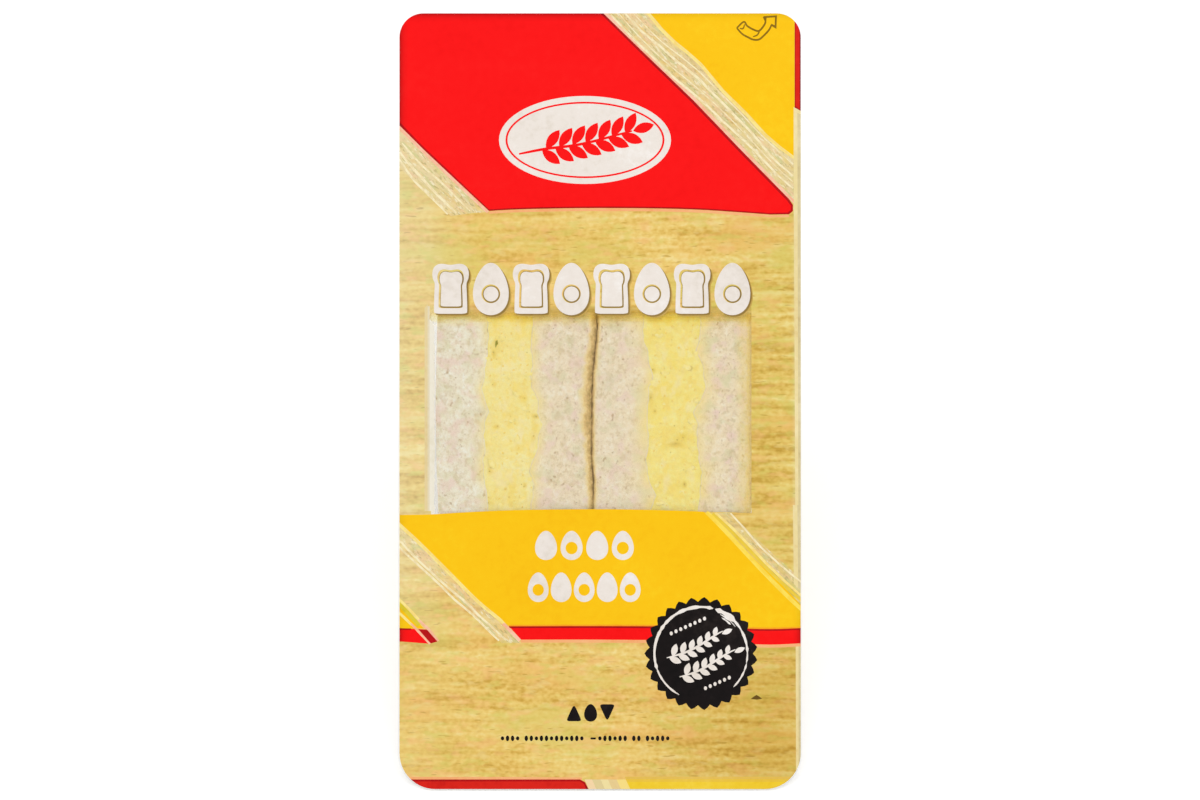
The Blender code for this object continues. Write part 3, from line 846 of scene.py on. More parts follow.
# --- the opening arrow: a curling tab in thin outline, with an arrow's head
bent = curve([(736.8, 28.0), (743.8, 21.8), (747.2, 26.0), (753.8, 29.8), (758.8, 31.0), (763.0, 26.8), (765.5, 21.8), (763.4, 16.8)], 4)
under = curve([(736.8, 28.0), (742.2, 34.0), (748.8, 37.7), (753.0, 39.6), (758.8, 39.6), (763.8, 35.6), (768.8, 30.2), (771.3, 25.6)], 4)
lay(OLIVE, stroke(bent, 1.9, 0.2))
lay(OLIVE, stroke(under, 1.9, 0.2))
lay(OLIVE, [(763.6, 16.2), (777.0, 15.4), (776.4, 29.0), (770.2, 25.4), (771.6, 23.8), (774.7, 25.4), (774.9, 17.4), (766.6, 17.9), (766.2, 22.0), (764.6, 21.6)])
lay(OLIVE, stroke(curve([(753.0, 36.8), (757.2, 35.0), (759.7, 31.0)], 4), 1.5, 0.4))
lay(OLIVE, stroke(curve([(739.7, 28.5), (743.0, 28.6), (744.7, 24.3)], 4), 1.4, 0.4))

# --- a plain oval with a thin ring and a sprig of wheat
lay(WHITE, ellipse(585, 140, 86, 44, 64))
lay(RED, ellipse(585, 140, 79.5, 38.2, 64))
lay(WHITE, ellipse(585, 140, 77.5, 36.4, 64))
stem = curve([(519, 154), (545, 149), (582, 144), (632, 131)], 6)
lay(RED, stroke(stem, 2.8, 0.4))
for k in range(7):
    x, y = 546 + 13.2 * k, 148.6 - 1.6 * k - 0.16 * k * k
    lay(RED, leaf(x, y, 23, 10.4, math.radians(-54 - 1.5 * k)))
    lay(RED, leaf(x - 4, y + 1.2, 23, 10.4, math.radians(38 - 3 * k)))
lay(RED, leaf(633, 131, 22, 10.2, math.radians(-17)))

# --- the window, and the strip above it where the kraft print thins out
lay(THINNING, [(430.2, 303.5), (751.4, 303.5), (751.4, 326.3), (430.2, 326.3)])
lay(WINDOW, [(430.2, 326.3), (751.4, 326.3), (751.4, 520), (430.2, 520)])
lay(FRINGE, [(424.6, 308), (427.8, 304), (427.8, 518), (424.6, 518)])
lay(FRINGE_PALE, [(427.6, 306), (429.8, 306), (429.8, 518), (427.6, 518)])
strip = np.random.RandomState(12)
# a white printed strip down the window's left edge, carried on over the window as a painted highlight of the tray's
# clear wall
lay(FRINGE_WHITE_AND_HIGHLIGHT, [(429.6, 319), (431.2, 321), (434.0, 325)] + [(434.5 + 1.0 * (strip.rand() - 0.5), y) for y in np.arange(329.0, 516.0, 3.5)] + [(434.5, 518), (429.6, 518)])

# --- a row of bread slices and halved eggs by turns, over the window's top edge


def egg_shape(x, y, a, b, steps=34):
    """An egg standing on its broad end."""
    out = []
    for i in range(steps):
        t = 2 * math.pi * i / steps
        out.append((x + a * math.cos(t) * (1 + 0.20 * math.sin(t)), y + b * math.sin(t)))
    return out


def slice_shape(x, y, w, h):
    """A slice of tin loaf, with its two rounded shoulders at the top."""
    half = [(0.30, 0.5), (0.425, 0.485), (0.455, 0.43), (0.445, 0.10), (0.435, -0.10), (0.485, -0.20), (0.50, -0.31),
            (0.46, -0.42), (0.36, -0.485), (0.22, -0.50)]
    ring = half + [(0.0, -0.478)] + [(-u, v) for u, v in half[::-1]]
    return [(x + u * w, y + v * h) for u, v in curve(ring, 3)]


for k in range(8):
    x, y = 450.6 + 40.25 * k, 288.8
    loaf = k % 2 == 0
    shape = slice_shape(x, y, 36.5, 50.0) if loaf else egg_shape(x, y + 0.2, 17.6, 26.2, 44)
    lay(SHADE_SOFT, moved(shape, 2.6, 2.5))
    lay(SHADE, moved(shape, 1.5, 1.7))
    lay(WHITE, shape)
    if loaf:
        lay(KRAFT, slice_shape(x, y, 26.4, 38.8))
        lay(SHADE, slice_shape(x + 0.9, y + 0.8, 24.6, 36.8))
        lay(WHITE, slice_shape(x + 0.4, y + 0.3, 22.6, 34.8))
    else:
        lay(KRAFT, ellipse(x, y + 5.0, 9.4, 9.4, 36))
        lay(SHADE, ellipse(x + 0.5, y + 5.5, 8.7, 8.7, 36))
        lay(WHITE, ellipse(x + 0.2, y + 5.2, 7.5, 7.5, 32))

# --- the yellow band with its red edge, and its diagonals
band_top = curve([(396, 515), (430, 514.4), (470, 512.0), (520, 510.0), (580, 509.2), (640, 509.6), (703, 511.6)], 5)
stripe_top = curve([(509, 626.2), (600, 626.0), (690, 626.6), (730, 628.0), (770, 629.0), (806, 627.8)], 4)
stripe_foot = curve([(521, 639.6), (600, 639.6), (690, 640.6), (730, 643.0), (770, 644.6), (806, 643.0)], 4)
lay(KRAFT, [(380, 511), (431, 511), (431.6, 540), (520, 650), (380, 650)])
lay(KRAFT, [(703, 511.6), (730, 512.2), (751.4, 513.2), (751.4, 505), (812, 505), (812, 625)])
lay(YELLOW, band_top + [(711, 516), (723, 527.5), (743, 547.5), (763, 567), (783, 586), (806, 610)] + stripe_top[::-1]
    + [(480, 601.5), (450, 572.5), (420, 543), (404, 527), (392, 516)])
lay(PEACH, stroke(moved(stripe_foot, 0, 1.5), 3.2, 0.1))
lay(AMBER, stroke(moved(stripe_top, 0, -0.7), 1.6, 0.1))
lay(RED, stripe_top + stripe_foot[::-1])
lay(RED_RIM, stroke(moved(stripe_top, 0, 1.0), 2.0, 0.1))
lay(KRAFT_FAINT, [(390, 515), (403, 529), (419, 545), (449, 574.5), (479, 603.5), (521, 643), (502, 643), (474, 614), (451, 592), (422, 564), (392, 533)])
lay(KRAFT_FAINT, [(716, 513), (730, 512.3), (752, 534), (775, 556), (806, 583), (806, 600), (780, 578)])
lay(SAND, [(792.8, 505), (797.6, 505), (798.2, 588), (793.8, 584)])
lay(SAND_DULL, [(797.4, 505), (812, 505), (812, 598), (798.2, 588)])
lay(PALE_YELLOW, stroke(curve([(396, 521), (400.5, 525.6), (420.4, 544.1), (448.9, 572.5), (477.3, 601), (498.7, 618.6), (505, 625.4)], 4), 3.4, 0.1))
lay(ROSY, stroke([(503, 623.5), (511, 631.4), (520, 640.6)], 3.6, 0.2))
lay(PALE, stroke(curve([(396, 537), (400.5, 541.3), (414.8, 556.9), (434.7, 575.4), (448.9, 588.2), (463.1, 599.6), (480.2, 616.6), (491.6, 626.6), (506, 640)], 4), 2.2, 0.2))
lay(PALE, stroke(curve([(396, 544), (400.5, 548.4), (420.4, 566.9), (438.9, 583.9), (454.6, 599.6), (471.7, 613.8), (485.9, 628), (499, 640.6)], 4), 2.2, 0.2))
lay(PALE_BRIGHT, stroke(curve([(706.5, 512.2), (711.0, 516.4), (724, 529.6), (744, 551), (765, 573.5), (786.7, 595.5), (806, 613.5)], 4), 4.2, 0.1))
lay(YELLOW_SOFT, stroke(curve([(712.5, 513.4), (727.5, 527.5), (747.5, 548), (768, 569.5), (788, 588.5), (806, 604.5)], 4), 3.2, 0.2))
lay(PALE_YELLOW, stroke(curve([(715.5, 513.0), (732.9, 528.6), (750, 546.2), (768.6, 565.6), (785.7, 581.8), (806, 600)], 4), 2.6, 0.2))
lay(PALE, stroke(curve([(730.5, 513.2), (744.9, 529), (760, 546.2), (774.3, 559.6), (788.6, 571.9), (806, 586)], 4), 1.9, 0.2))
lay(YELLOW, [(380, 583), (400.5, 603.5), (424, 628.5), (380, 628.5)])
lay(YELLOW_DULL, stroke([(392, 596), (404, 608.6), (419, 625.5)], 4.6, 0.2))
lay(RED, [(380, 628.2), (410, 628.6), (429, 629.6), (438.5, 641.2), (428, 643.6), (402, 641.6), (380, 641)])
lay(RED_RIM, [(418.5, 629.4), (429, 629.6), (438.5, 641.2), (431.0, 643.4)])
lay(RED_RIM, stroke([(392, 628.8), (411, 629.2)], 1.8, 0.1))
lay(PALE_YELLOW, stroke([(394, 608), (403, 616.4), (412, 625)], 2.6, 0.1))
lay(ROSY, stroke([(411, 623.5), (418.5, 631.4), (430, 644.0)], 2.6, 0.3))
lay(PALE_YELLOW, stroke([(394, 594), (400.5, 600.6), (413.3, 613.4), (420, 621.0)], 2.6, 0.1))
lay(ROSY, stroke([(418.6, 619.6), (428.6, 629.2), (438.4, 641.0)], 2.8, 0.3))

# --- two rows of whole and halved eggs on the band
for count, first, pitch, y, a, b, halved in ((4, 546.0, 25.6, 545.4, 10.8, 14.6, 1), (5, 538.2, 23.0, 587.2, 10.2, 14.8, 0)):
    for k in range(count):
        x = first + pitch * k
        lay(WHITE, egg_shape(x, y, a, b))
        if k % 2 == halved:
            lay(YELLOW, ellipse(x, y + 2.6, a * 0.56, a * 0.58, 22))

# --- the dark seal: a notched disc with a worn ring and a leafy sprig
seal_x, seal_y, teeth = 701.0, 653.5, 27
notched = []
for k in range(teeth * 4):
    t = 2 * math.pi * k / (teeth * 4)
    r = (51.8, 54.6, 56.6, 54.6)[k % 4]
    notched.append((seal_x + r * math.cos(t), seal_y + r * math.sin(t)))
lay(BLACK, notched)


def arc(r, start, end, width, wobble=0.0, seed=0):
    """Part of a ring whose width wanders."""
    rng = np.random.RandomState(seed)
    n = max(6, int(abs(end - start) / 4))
    t = np.radians(np.linspace(start, end, n))
    w = width * (1 + wobble * (rng.rand(n) - 0.5) * 2)
    w[0] = w[-1] = width * 0.25
    outer = [(seal_x + (r + w[i] / 2) * math.cos(t[i]), seal_y + (r + w[i] / 2) * math.sin(t[i])) for i in range(n)]
    inner = [(seal_x + (r - w[i] / 2) * math.cos(t[i]), seal_y + (r - w[i] / 2) * math.sin(t[i])) for i in range(n)]
    return outer + inner[::-1]


for r, start, end, width, wobble, seed in (
    (46.6, 160, 285, 2.9, 0.35, 1), (46.6, 118, 162, 2.0, 0.4, 2), (46.6, 288, 330, 4.2, 0.6, 3),
    (46.4, 328, 372, 2.0, 0.5, 4), (46.6, 12, 46, 1.5, 0.5, 5), (43.6, 296, 322, 1.6, 0.7, 6), (41.4, 300, 316, 1.2, 0.7, 7),
):
    lay(WHITE, arc(r, start, end, width, wobble, seed))
tilt = math.radians(-24)
ct, st = math.cos(tilt), math.sin(tilt)


def on_seal(u, v):
    return (seal_x + u * ct - v * st, seal_y + u * st + v * ct)


for lift, first, count in ((-9.5, -33.0, 6), (12.5, -29.0, 6)):
    sprig = [on_seal(u, lift + 2.2 * math.sin((u + 30) / 13.0)) for u in np.linspace(first, first + 62, 15)]
    lay(WHITE, stroke(sprig, 2.2, 0.6))
    for k in range(count):
        u = first + 6 + 9.2 * k
        v = lift + 2.2 * math.sin((u + 30) / 13.0)
        size = 13.0 - 0.7 * k
        x, y = on_seal(u, v)
        lay(WHITE, leaf(x, y, size, 6.4 - 0.3 * k, tilt + math.radians(-50)))
        x, y = on_seal(u - 3.6, v)
        lay(WHITE, leaf(x, y, size, 6.4 - 0.3 * k, tilt + math.radians(46)))
    x, y = on_seal(first + 60, lift)
    lay(WHITE, leaf(x, y, 11.5, 5.2, tilt))
for u0, v0, count in ((-19, -30.5, 8), (-10, 33.5, 6)):
    for k in range(count):
        x, y = on_seal(u0 + 5.2 * k, v0)
        lay(WHITE, ellipse(x, y, 1.6, 2.0, 10))

# --- a knot in the kraft's grain, and small dark marks below
lay(KNOT, [(750.6, 699.0), (753.6, 696.6), (756.4, 694.9), (758.6, 696.0), (762.2, 698.7), (757.0, 699.6)])
lay(BLACK, rounded([(574.0, 703.6), (582.0, 721.2), (566.0, 721.2)], 2.2, 3))
lay(BLACK, egg_shape(590.6, 712.8, 6.4, 8.8, 26))
lay(BLACK, rounded([(599.2, 704.2), (615.2, 704.2), (607.2, 721.8)], 2.2, 3))
x = 502.5
for k, count in enumerate((4, 12, 0, 6, 2, 5)):
    if count == 0:
        lay(BLACK, rounded([(x, 737.4), (x + 5.5, 737.4), (x + 5.5, 739.4), (x, 739.4)], 0.8, 2))
        x += 9.4
        continue
    for i in range(count):
        lay(BLACK, ellipse(x, 738.3, 1.75, 2.9 if (i * 7 + k) % 3 else 2.1, 10))
        x += 5.05
    x += 3.6

# --- the next print's edge along the foot
lay(PEACH, stroke([(392, 778.2), (490, 778.2), (582, 778.6)], 2.6, 0.05))
lay(RED_RIM, [(380, 779.4), (580, 779.4), (585, 782), (588.5, 789), (588.5, 800), (380, 800)])
lay(RED_DEEP, [(380, 781.4), (580, 781.4), (584, 784), (586.5, 790), (586.5, 800), (380, 800)])
slants = (
    ("ink_slant_1", (247, 216, 168), 584.6, 592.0), ("ink_slant_2", (228, 208, 150), 592.0, 600.6), ("ink_slant_3", (242, 224, 162), 600.6, 608.0),
    ("ink_slant_4", (234, 206, 144), 608.0, 616.6), ("ink_slant_5", (249, 222, 132), 616.6, 626.0),
)
for name, tone, near, far in slants:
    low, high = (tuple(min(255, max(0, c + step)) for c in tone) for step in (-9, 6))
    lay(ink(name, tone, low, high, grain=0.8), [(near, 779.4), (far, 779.4), (far + 9.0, 800), (near + 9.0, 800)])
lay(FOOT_1, [(624.5, 776.6), (820, 776.6), (820, 782), (627.4, 782)])
lay(FOOT_2, [(625.5, 779.2), (820, 779.2), (820, 784), (628, 784)])
lay(YELLOW_FOOT, [(626.8, 781.8), (820, 781.8), (820, 800), (635.6, 800)])


def film_height(x, y):
    """The film's upper face above the rim: flat on the rim, crowned over the mouth, with a slight pull round the weld."""
    fx = np.cos(np.pi / 2 * np.clip(np.abs(x) / MOUTH_A, 0, 1))
    fy = np.cos(np.pi / 2 * np.clip(np.abs(y) / MOUTH_B, 0, 1)) ** 0.6
    crown = 0.2 * smooth(fx) * fy
    n = Noise(5)
    waves = 0.10 * n.layers(x * 0.045, y * 0.09, 0.3, 2) + 0.035 * n.layers(x * 0.30, y * 0.16, 4.2, 2)
    edge = np.minimum(FACE_W / 2 - np.abs(x), FACE_H / 2 - np.abs(y))
    inside = smooth(np.minimum((MOUTH_A - np.abs(x)) / 3.0, (MOUTH_B - np.abs(y)) / 3.0) + 0.5)
    bead = -0.05 * np.exp(-((edge - 2.4) / 0.45) ** 2)
    return 0.20 + crown + waves * inside + bead


def inside_outline(x, y, ring):
    """Even-odd test of points in a closed outline."""
    hit = np.zeros(len(x), bool)
    px, py = np.array([p[0] for p in ring]), np.array([p[1] for p in ring])
    box = (x >= px.min()) & (x <= px.max()) & (y >= py.min()) & (y <= py.max())
    xs, ys = x[box], y[box]
    inner = np.zeros(len(xs), bool)
    for i in range(len(px)):
        j = i - 1
        cross = (py[i] > ys) != (py[j] > ys)
        if cross.any():
            where = (px[j] - px[i]) * (ys - py[i]) / (py[j] - py[i] + 1e-12) + px[i]
            inner ^= cross & (xs < where)
    hit[box] = inner
    return hit


def clipped(ring, limit):
    """A convex clip of the outline to the face's box, so that nothing lies beyond the film."""
    a, b = limit
    for axis, bound, sign in ((0, a, 1), (0, -a, -1), (1, b, 1), (1, -b, -1)):
        out = []
        for i in range(len(ring)):
            p, q = ring[i - 1], ring[i]
            pin, qin = sign * (bound - p[axis]) >= 0, sign * (bound - q[axis]) >= 0
            if pin != qin:
                t = (bound - p[axis]) / (q[axis] - p[axis])
                out.append((p[0] + (q[0] - p[0]) * t, p[1] + (q[1] - p[1]) * t))
            if qin:
                out.append(q)
        ring = out
        if len(ring) < 3:
            return []
    return ring


def split_long(ring, longest):
    """The outline with points added so that no side is longer than longest."""
    out = []
    for p, q in zip(ring, ring[1:] + ring[:1]):
        n = max(1, math.ceil(math.dist(p, q) / longest))
        out += [(p[0] + (q[0] - p[0]) * k / n, p[1] + (q[1] - p[1]) * k / n) for k in range(n)]
    return out


def make_film():
    step = 1.3
    outline = split_long(face_outline(FILM_INSET, 14), step)
    coords, edges = [Vector(p) for p in outline], []
    edges += [(i, (i + 1) % len(outline)) for i in range(len(outline))]
    layers, along = [], [split_long(outline, 0.3)]
    for material, ring in prints:
        ring = clipped([at(*p) for p in ring], (FACE_W / 2 + 1, FACE_H / 2 + 1))
        if len(ring) < 3:
            continue
        ring = split_long(ring, step)
        layers.append((material, ring))
        along.append(split_long(ring, 0.3))
        start = len(coords)
        coords += [Vector(p) for p in ring]
        edges += [(start + i, start + (i + 1) % len(ring)) for i in range(len(ring))]
    nx, ny = int(FACE_W / step), int(FACE_H / step)
    rng = np.random.RandomState(3)
    gx, gy = np.meshgrid(np.linspace(-FACE_W / 2 + 0.9, FACE_W / 2 - 0.9, nx), np.linspace(-FACE_H / 2 + 0.9, FACE_H / 2 - 0.9, ny))
    gx = (gx + (rng.rand(*gx.shape) - 0.5) * 0.2).ravel()
    gy = (gy + (rng.rand(*gy.shape) - 0.5) * 0.2).ravel()
    keep = inside_outline(gx, gy, face_outline(FILM_INSET + 0.5, 6))
    cell = 0.42
    taken = set()
    for p in np.floor(np.concatenate([np.array(r) for r in along]) / cell).astype(int):
        taken.update((p[0] + i, p[1] + j) for i in (-1, 0, 1) for j in (-1, 0, 1))
    keep &= np.array([(int(i), int(j)) not in taken for i, j in zip(np.floor(gx / cell), np.floor(gy / cell))])
    coords += [Vector(p) for p in zip(gx[keep], gy[keep])]
    verts, _, tris, _, _, _ = delaunay_2d_cdt(coords, edges, [], 0, 1e-4, False)
    v = np.array([(p.x, p.y) for p in verts])
    tris = np.array([t for t in tris if len(t) == 3])
    mid = v[tris].mean(1)
    keep = inside_outline(mid[:, 0], mid[:, 1], outline)
    tris, mid = tris[keep], mid[keep]
    a, b, c = v[tris[:, 0]], v[tris[:, 1]], v[tris[:, 2]]
    area = (b[:, 0] - a[:, 0]) * (c[:, 1] - a[:, 1]) - (b[:, 1] - a[:, 1]) * (c[:, 0] - a[:, 0])
    tris[area < 0] = tris[area < 0][:, ::-1]
    used = np.unique(tris)
    index = -np.ones(len(v), int)
    index[used] = np.arange(len(used))
    v, tris = v[used], index[tris]

    mats = [KRAFT]
    slot = np.zeros(len(tris), int)
    for material, ring in layers:
        if material not in mats:
            mats.append(material)
        slot[inside_outline(mid[:, 0], mid[:, 1], ring)] = mats.index(material)
    mats.append(BACKING)
    clear, thin = mats.index(WINDOW), mats.index(THINNING)
    backing = len(mats) - 1

    z = film_height(v[:, 0], v[:, 1])
    top = np.column_stack([v, z])
    bottom = np.column_stack([v, z - 0.13])
    n = len(top)
    sides = np.sort(np.concatenate([tris[:, [0, 1]], tris[:, [1, 2]], tris[:, [2, 0]]]), 1)
    code = sides[:, 0] * n + sides[:, 1]
    _, first, count = np.unique(code, return_index=True, return_counts=True)
    directed = np.concatenate([tris[:, [0, 1]], tris[:, [1, 2]], tris[:, [2, 0]]])[first[count == 1]]
    walls = np.column_stack([directed[:, 1], directed[:, 0], directed[:, 0] + n, directed[:, 1] + n])
    film = make_mesh(
        "lid_film_printed",
        np.concatenate([top, bottom]),
        [tris, tris[:, ::-1] + n, walls],
        mats,
        np.concatenate([slot, np.where((slot == clear) | (slot == thin), clear, backing), np.full(len(walls), backing)]),
    )
    film.data.shade_smooth()
    film.data.set_sharp_from_angle(angle=math.radians(40))
    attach(film, "root")
    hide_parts("lid_film")
    print("film", len(film.data.polygons))
    return film


# ============================================================================
# The tray
# ============================================================================
def wall_profile(inset, leg_steps, ridge_steps):
    """The wedge's section, (v, depth), from the upper edge of the mouth round the ridge to the lower edge."""
    b = MOUTH_B - inset * math.sqrt(2)
    centre, r = ridge_centre(), RIDGE_R - inset
    tangent = np.array((r * math.sin(math.pi / 4), centre + r * math.cos(math.pi / 4)))
    top = np.array((b, 0.0))
    upper = [top + (tangent - top) * i / leg_steps for i in range(leg_steps)]
    arc_ = [
        np.array((r * math.sin(t), centre + r * math.cos(t)))
        for t in np.linspace(math.pi / 4, -math.pi / 4, ridge_steps + 1)
    ]
    return np.array(upper + arc_ + [np.array((-p[0], p[1])) for p in upper[::-1]])


def make_tray():
    legs, turn, edge_steps, lip = 44, 18, 8, 1.6
    flat0 = MOUTH_A - EDGE_R
    sections = [(-1.0, math.pi / 2 * i / edge_steps) for i in range(edge_steps, 0, -1)]
    sections += [(s, 0.0) for s in np.linspace(-1, 1, 81)]
    sections += [(1.0, math.pi / 2 * i / edge_steps) for i in range(1, edge_steps + 1)]
    rows = []
    for share, angle in sections:
        inset = EDGE_R * (1 - math.cos(angle))
        p = wall_profile(inset, legs, turn)
        v, depth = p[:, 0], p[:, 1]
        flat = flat0 - depth * math.tan(DRAFT)
        u = share * flat + math.copysign(1, share) * EDGE_R * math.sin(angle)
        if angle == 0.0:
            i = np.arange(len(p))
            down = np.minimum(i, len(p) - 1 - i) / legs
            tall = max(0.5 + 0.5 * math.cos(math.pi * min(1.0, abs(share * flat0 - c) / (RIB_W / 2))) for c in RIBS)
            lift = RIB_H * tall * smooth((down - 0.10) / 0.08) * smooth((0.94 - down) / 0.08) / math.sqrt(2)
            lift = np.where(down <= 1, lift, 0)
            v = v + np.sign(v) * lift
            depth = depth + lift
        rows.append(np.column_stack([np.broadcast_to(u, v.shape), v, -depth]))
    rows = np.array(rows)  # section, point, xyz
    S, P = rows.shape[:2]

    # The mouth's edge, anticlockwise seen from outside: its points, and the way down each wall
    side_v = np.linspace(rows[-1, 0, 1], rows[-1, -1, 1], 71)[1:-1]
    right = np.column_stack([np.full(len(side_v), MOUTH_A), side_v, np.zeros(len(side_v))])
    left = right[::-1] * (-1, 1, 1)
    down_side = np.array((-math.sin(DRAFT), 0, -math.cos(DRAFT)))
    ring = np.concatenate([rows[::-1, 0], left[::-1] * (1, 1, 1), rows[:, -1], right[::-1]])
    # upper edge right to left, left edge downwards, lower edge left to right, right edge upwards
    fall = np.concatenate(
        [
            (rows[:, 1] - rows[:, 0])[::-1],
            np.tile(down_side * (-1, 1, 1), (len(left), 1)),
            rows[:, -2] - rows[:, -1],
            np.tile(down_side, (len(right), 1)),
        ]
    )
    fall /= np.linalg.norm(fall, axis=1)[:, None]
    along = np.roll(ring, -1, 0) - np.roll(ring, 1, 0)
    along /= np.linalg.norm(along, axis=1)[:, None]
    out = np.column_stack([along[:, 1], -along[:, 0], np.zeros(len(ring))])
    theta = np.arctan2(-fall[:, 2], -(fall * out).sum(1))
    t = lip * np.tan(theta / 2)
    start = ring + out * t[:, None]
    centre = start - np.array((0, 0, lip))
    arcs = []
    for k in range(7):
        phi = (theta * k / 6)[:, None]
        arcs.append(centre + lip * (-out * np.sin(phi) + np.array((0, 0, 1)) * np.cos(phi)))
    arcs = np.array(arcs)
    arcs[:, :, 2] = np.minimum(arcs[:, :, 2], 0)

    # The walls' top rows start where the lip ends
    n1, n2, n3 = S, len(left), S
    last = arcs[-1]
    rows[:, 0] = last[:n1][::-1]
    rows[:, -1] = last[n1 + n2 : n1 + n2 + n3]
    left_top = last[n1 : n1 + n2]
    right_top = last[n1 + n2 + n3 :]

    points, faces = [], []

    def add(pts, quads_or_tris):
        base = sum(len(p) for p in points)
        points.append(pts)
        for block in quads_or_tris:
            faces.append(np.asarray(block) + base)

    idx = np.arange(S * P).reshape(S, P)
    add(rows.reshape(-1, 3), [np.stack([idx[:-1, :-1], idx[:-1, 1:], idx[1:, 1:], idx[1:, :-1]], -1).reshape(-1, 4)])
    R = len(ring)
    idx = np.arange(7 * R).reshape(7, R)
    nxt = np.roll(idx, -1, 1)
    add(arcs.reshape(-1, 3), [np.stack([idx[:-1], nxt[:-1], nxt[1:], idx[1:]], -1).reshape(-1, 4)])

    # The side walls, with a low raised panel
    for sign, row, top in ((-1, rows[0], left_top), (1, rows[-1], right_top)):
        if sign < 0:
            border = np.concatenate([row, top[::-1]])
        else:
            border = np.concatenate([row, top])
        flat2 = border[:, 1:3].copy()
        gx, gy = np.meshgrid(np.arange(-76, 76.1, 2.0), np.arange(-74, -1.9, 2.0))
        gx, gy = (gx + 1.0 * (np.round(gy / 2.0) % 2)).ravel(), gy.ravel()
        ring2 = [tuple(p) for p in flat2]
        keep = inside_outline(gx, gy, ring2)
        d = np.min(np.hypot(gx[:, None] - flat2[None, :, 0], gy[:, None] - flat2[None, :, 1]), 1)
        keep &= d > 1.1
        pts = [Vector(p) for p in ring2] + [Vector(p) for p in zip(gx[keep], gy[keep])]
        m = len(ring2)
        vv, _, ff, _, _, _ = delaunay_2d_cdt(pts, [(i, (i + 1) % m) for i in range(m)], [], 0, 1e-4, False)
        vv = np.array([(p.x, p.y) for p in vv])
        ff = np.array([f for f in ff if len(f) == 3])
        mid = vv[ff].mean(1)
        ff = ff[inside_outline(mid[:, 0], mid[:, 1], ring2)]
        depth = -vv[:, 1]
        legs_in = (MOUTH_B - EDGE_R * math.sqrt(2) - np.abs(vv[:, 0]) - depth) / math.sqrt(2)
        inner = np.minimum(legs_in - 4.5, depth - 8.0)
        panel = 0.55 * smooth(inner / 2.2)
        u = sign * (MOUTH_A - depth * math.tan(DRAFT) + panel)
        add(np.column_stack([u, vv]), [ff])

    # The flat rim
    rim = face_outline(0.0, 16)
    inner = [tuple(p[:2]) for p in arcs[0]]
    pts = [Vector(p) for p in rim] + [Vector(p) for p in inner]
    a, b = len(rim), len(inner)
    gx, gy = np.meshgrid(np.arange(-45, 45.1, 3.0), np.arange(-88, 88.1, 4.0))
    gx, gy = gx.ravel(), gy.ravel()
    keep = inside_outline(gx, gy, face_outline(1.0, 4)) & ~inside_outline(gx, gy, [(x * 1.02, y * 1.01) for x, y in inner])
    pts += [Vector(p) for p in zip(gx[keep], gy[keep])]
    vv, _, ff, _, _, _ = delaunay_2d_cdt(
        pts, [(i, (i + 1) % a) for i in range(a)] + [(a + i, a + (i + 1) % b) for i in range(b)], [], 0, 1e-4, False
    )
    vv = np.array([(p.x, p.y) for p in vv])
    ff = np.array([f for f in ff if len(f) == 3])
    mid = vv[ff].mean(1)
    ff = ff[inside_outline(mid[:, 0], mid[:, 1], rim) & ~inside_outline(mid[:, 0], mid[:, 1], inner)]
    add(np.column_stack([vv, np.zeros(len(vv))]), [ff])

    tray = make_mesh("tray_shell", np.concatenate(points), faces, [TRAY])
    tidy(tray, merge=0.01)
    # All faces are turned to look into the wedge, so that the sheet grows outwards
    me = tray.data
    face_out = PACK.to_3x3() @ Vector((0, 0, 1))
    if sum(p.normal.dot(face_out) * p.area for p in me.polygons) < 0:
        me.flip_normals()
    mod = tray.modifiers.new("sheet", "SOLIDIFY")
    mod.thickness = SHEET * 0.001
    mod.offset = -1.0
    mod.use_even_offset = True
    mod.use_quality_normals = True
    dg = bpy.context.evaluated_depsgraph_get()
    solid = bpy.data.meshes.new_from_object(tray.evaluated_get(dg))
    tray.modifiers.clear()
    tray.data = solid
    tidy(tray, sharp=50)
    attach(tray, "root")
    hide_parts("tray")
    print("tray", len(tray.data.polygons))
    return tray


# ============================================================================
# The sandwiches
# ============================================================================
def crust_depth(y):
    """Depth of the crust below the cut at y along it."""
    a = np.abs(y)
    k = SLICE_R / math.sqrt(2)
    apex = REACH + np.sqrt(np.clip(SLICE_R**2 - a**2, 0, None))
    tip = np.sqrt(np.clip(SLICE_R**2 - (a - REACH) ** 2, 0, None))
    return np.where(a < k, apex, np.where(a < REACH + k, HALF - a, tip))


def crust_normal(y):
    """Outward direction of the crust at y, in (y, depth)."""
    a, s = np.abs(y), np.sign(y)
    k = SLICE_R / math.sqrt(2)
    ny = np.where(a < k, a / SLICE_R, np.where(a < REACH + k, math.sqrt(0.5), (a - REACH) / SLICE_R))
    nd = np.sqrt(np.clip(1 - ny**2, 0, None))
    return ny * s, nd


def crust_distance(y, depth):
    """Distance to the crust from a place inside the slice."""
    a = np.abs(y)
    leg = (HALF - a - depth) / math.sqrt(2)
    apex = SLICE_R - np.hypot(a, depth - REACH)
    tip = SLICE_R - np.hypot(a - REACH, depth)
    return np.where(depth - REACH > a, apex, np.where(a - REACH > depth, tip, leg))


# Where the line between the two halves lies along the cut: (height on the face, mm to the right of straight)
SEAM = curve([(-46, 0.0), (-36, 0.1), (-23, 0.08), (-18, 0.04), (-14.8, -0.24), (-11, -0.30), (-4, -0.18), (1, -0.14), (5, -0.02),
              (8.5, 0.29), (12, 0.58), (16, 0.87), (20, 0.90), (28, 0.5), (38, 0.1), (46, 0.0)], 8)


def seam(y):
    """How the line between the two halves wanders along the cut, in mm."""
    where, by = zip(*SEAM)
    return np.interp(y, where, by)


LUMPS = Noise(21)
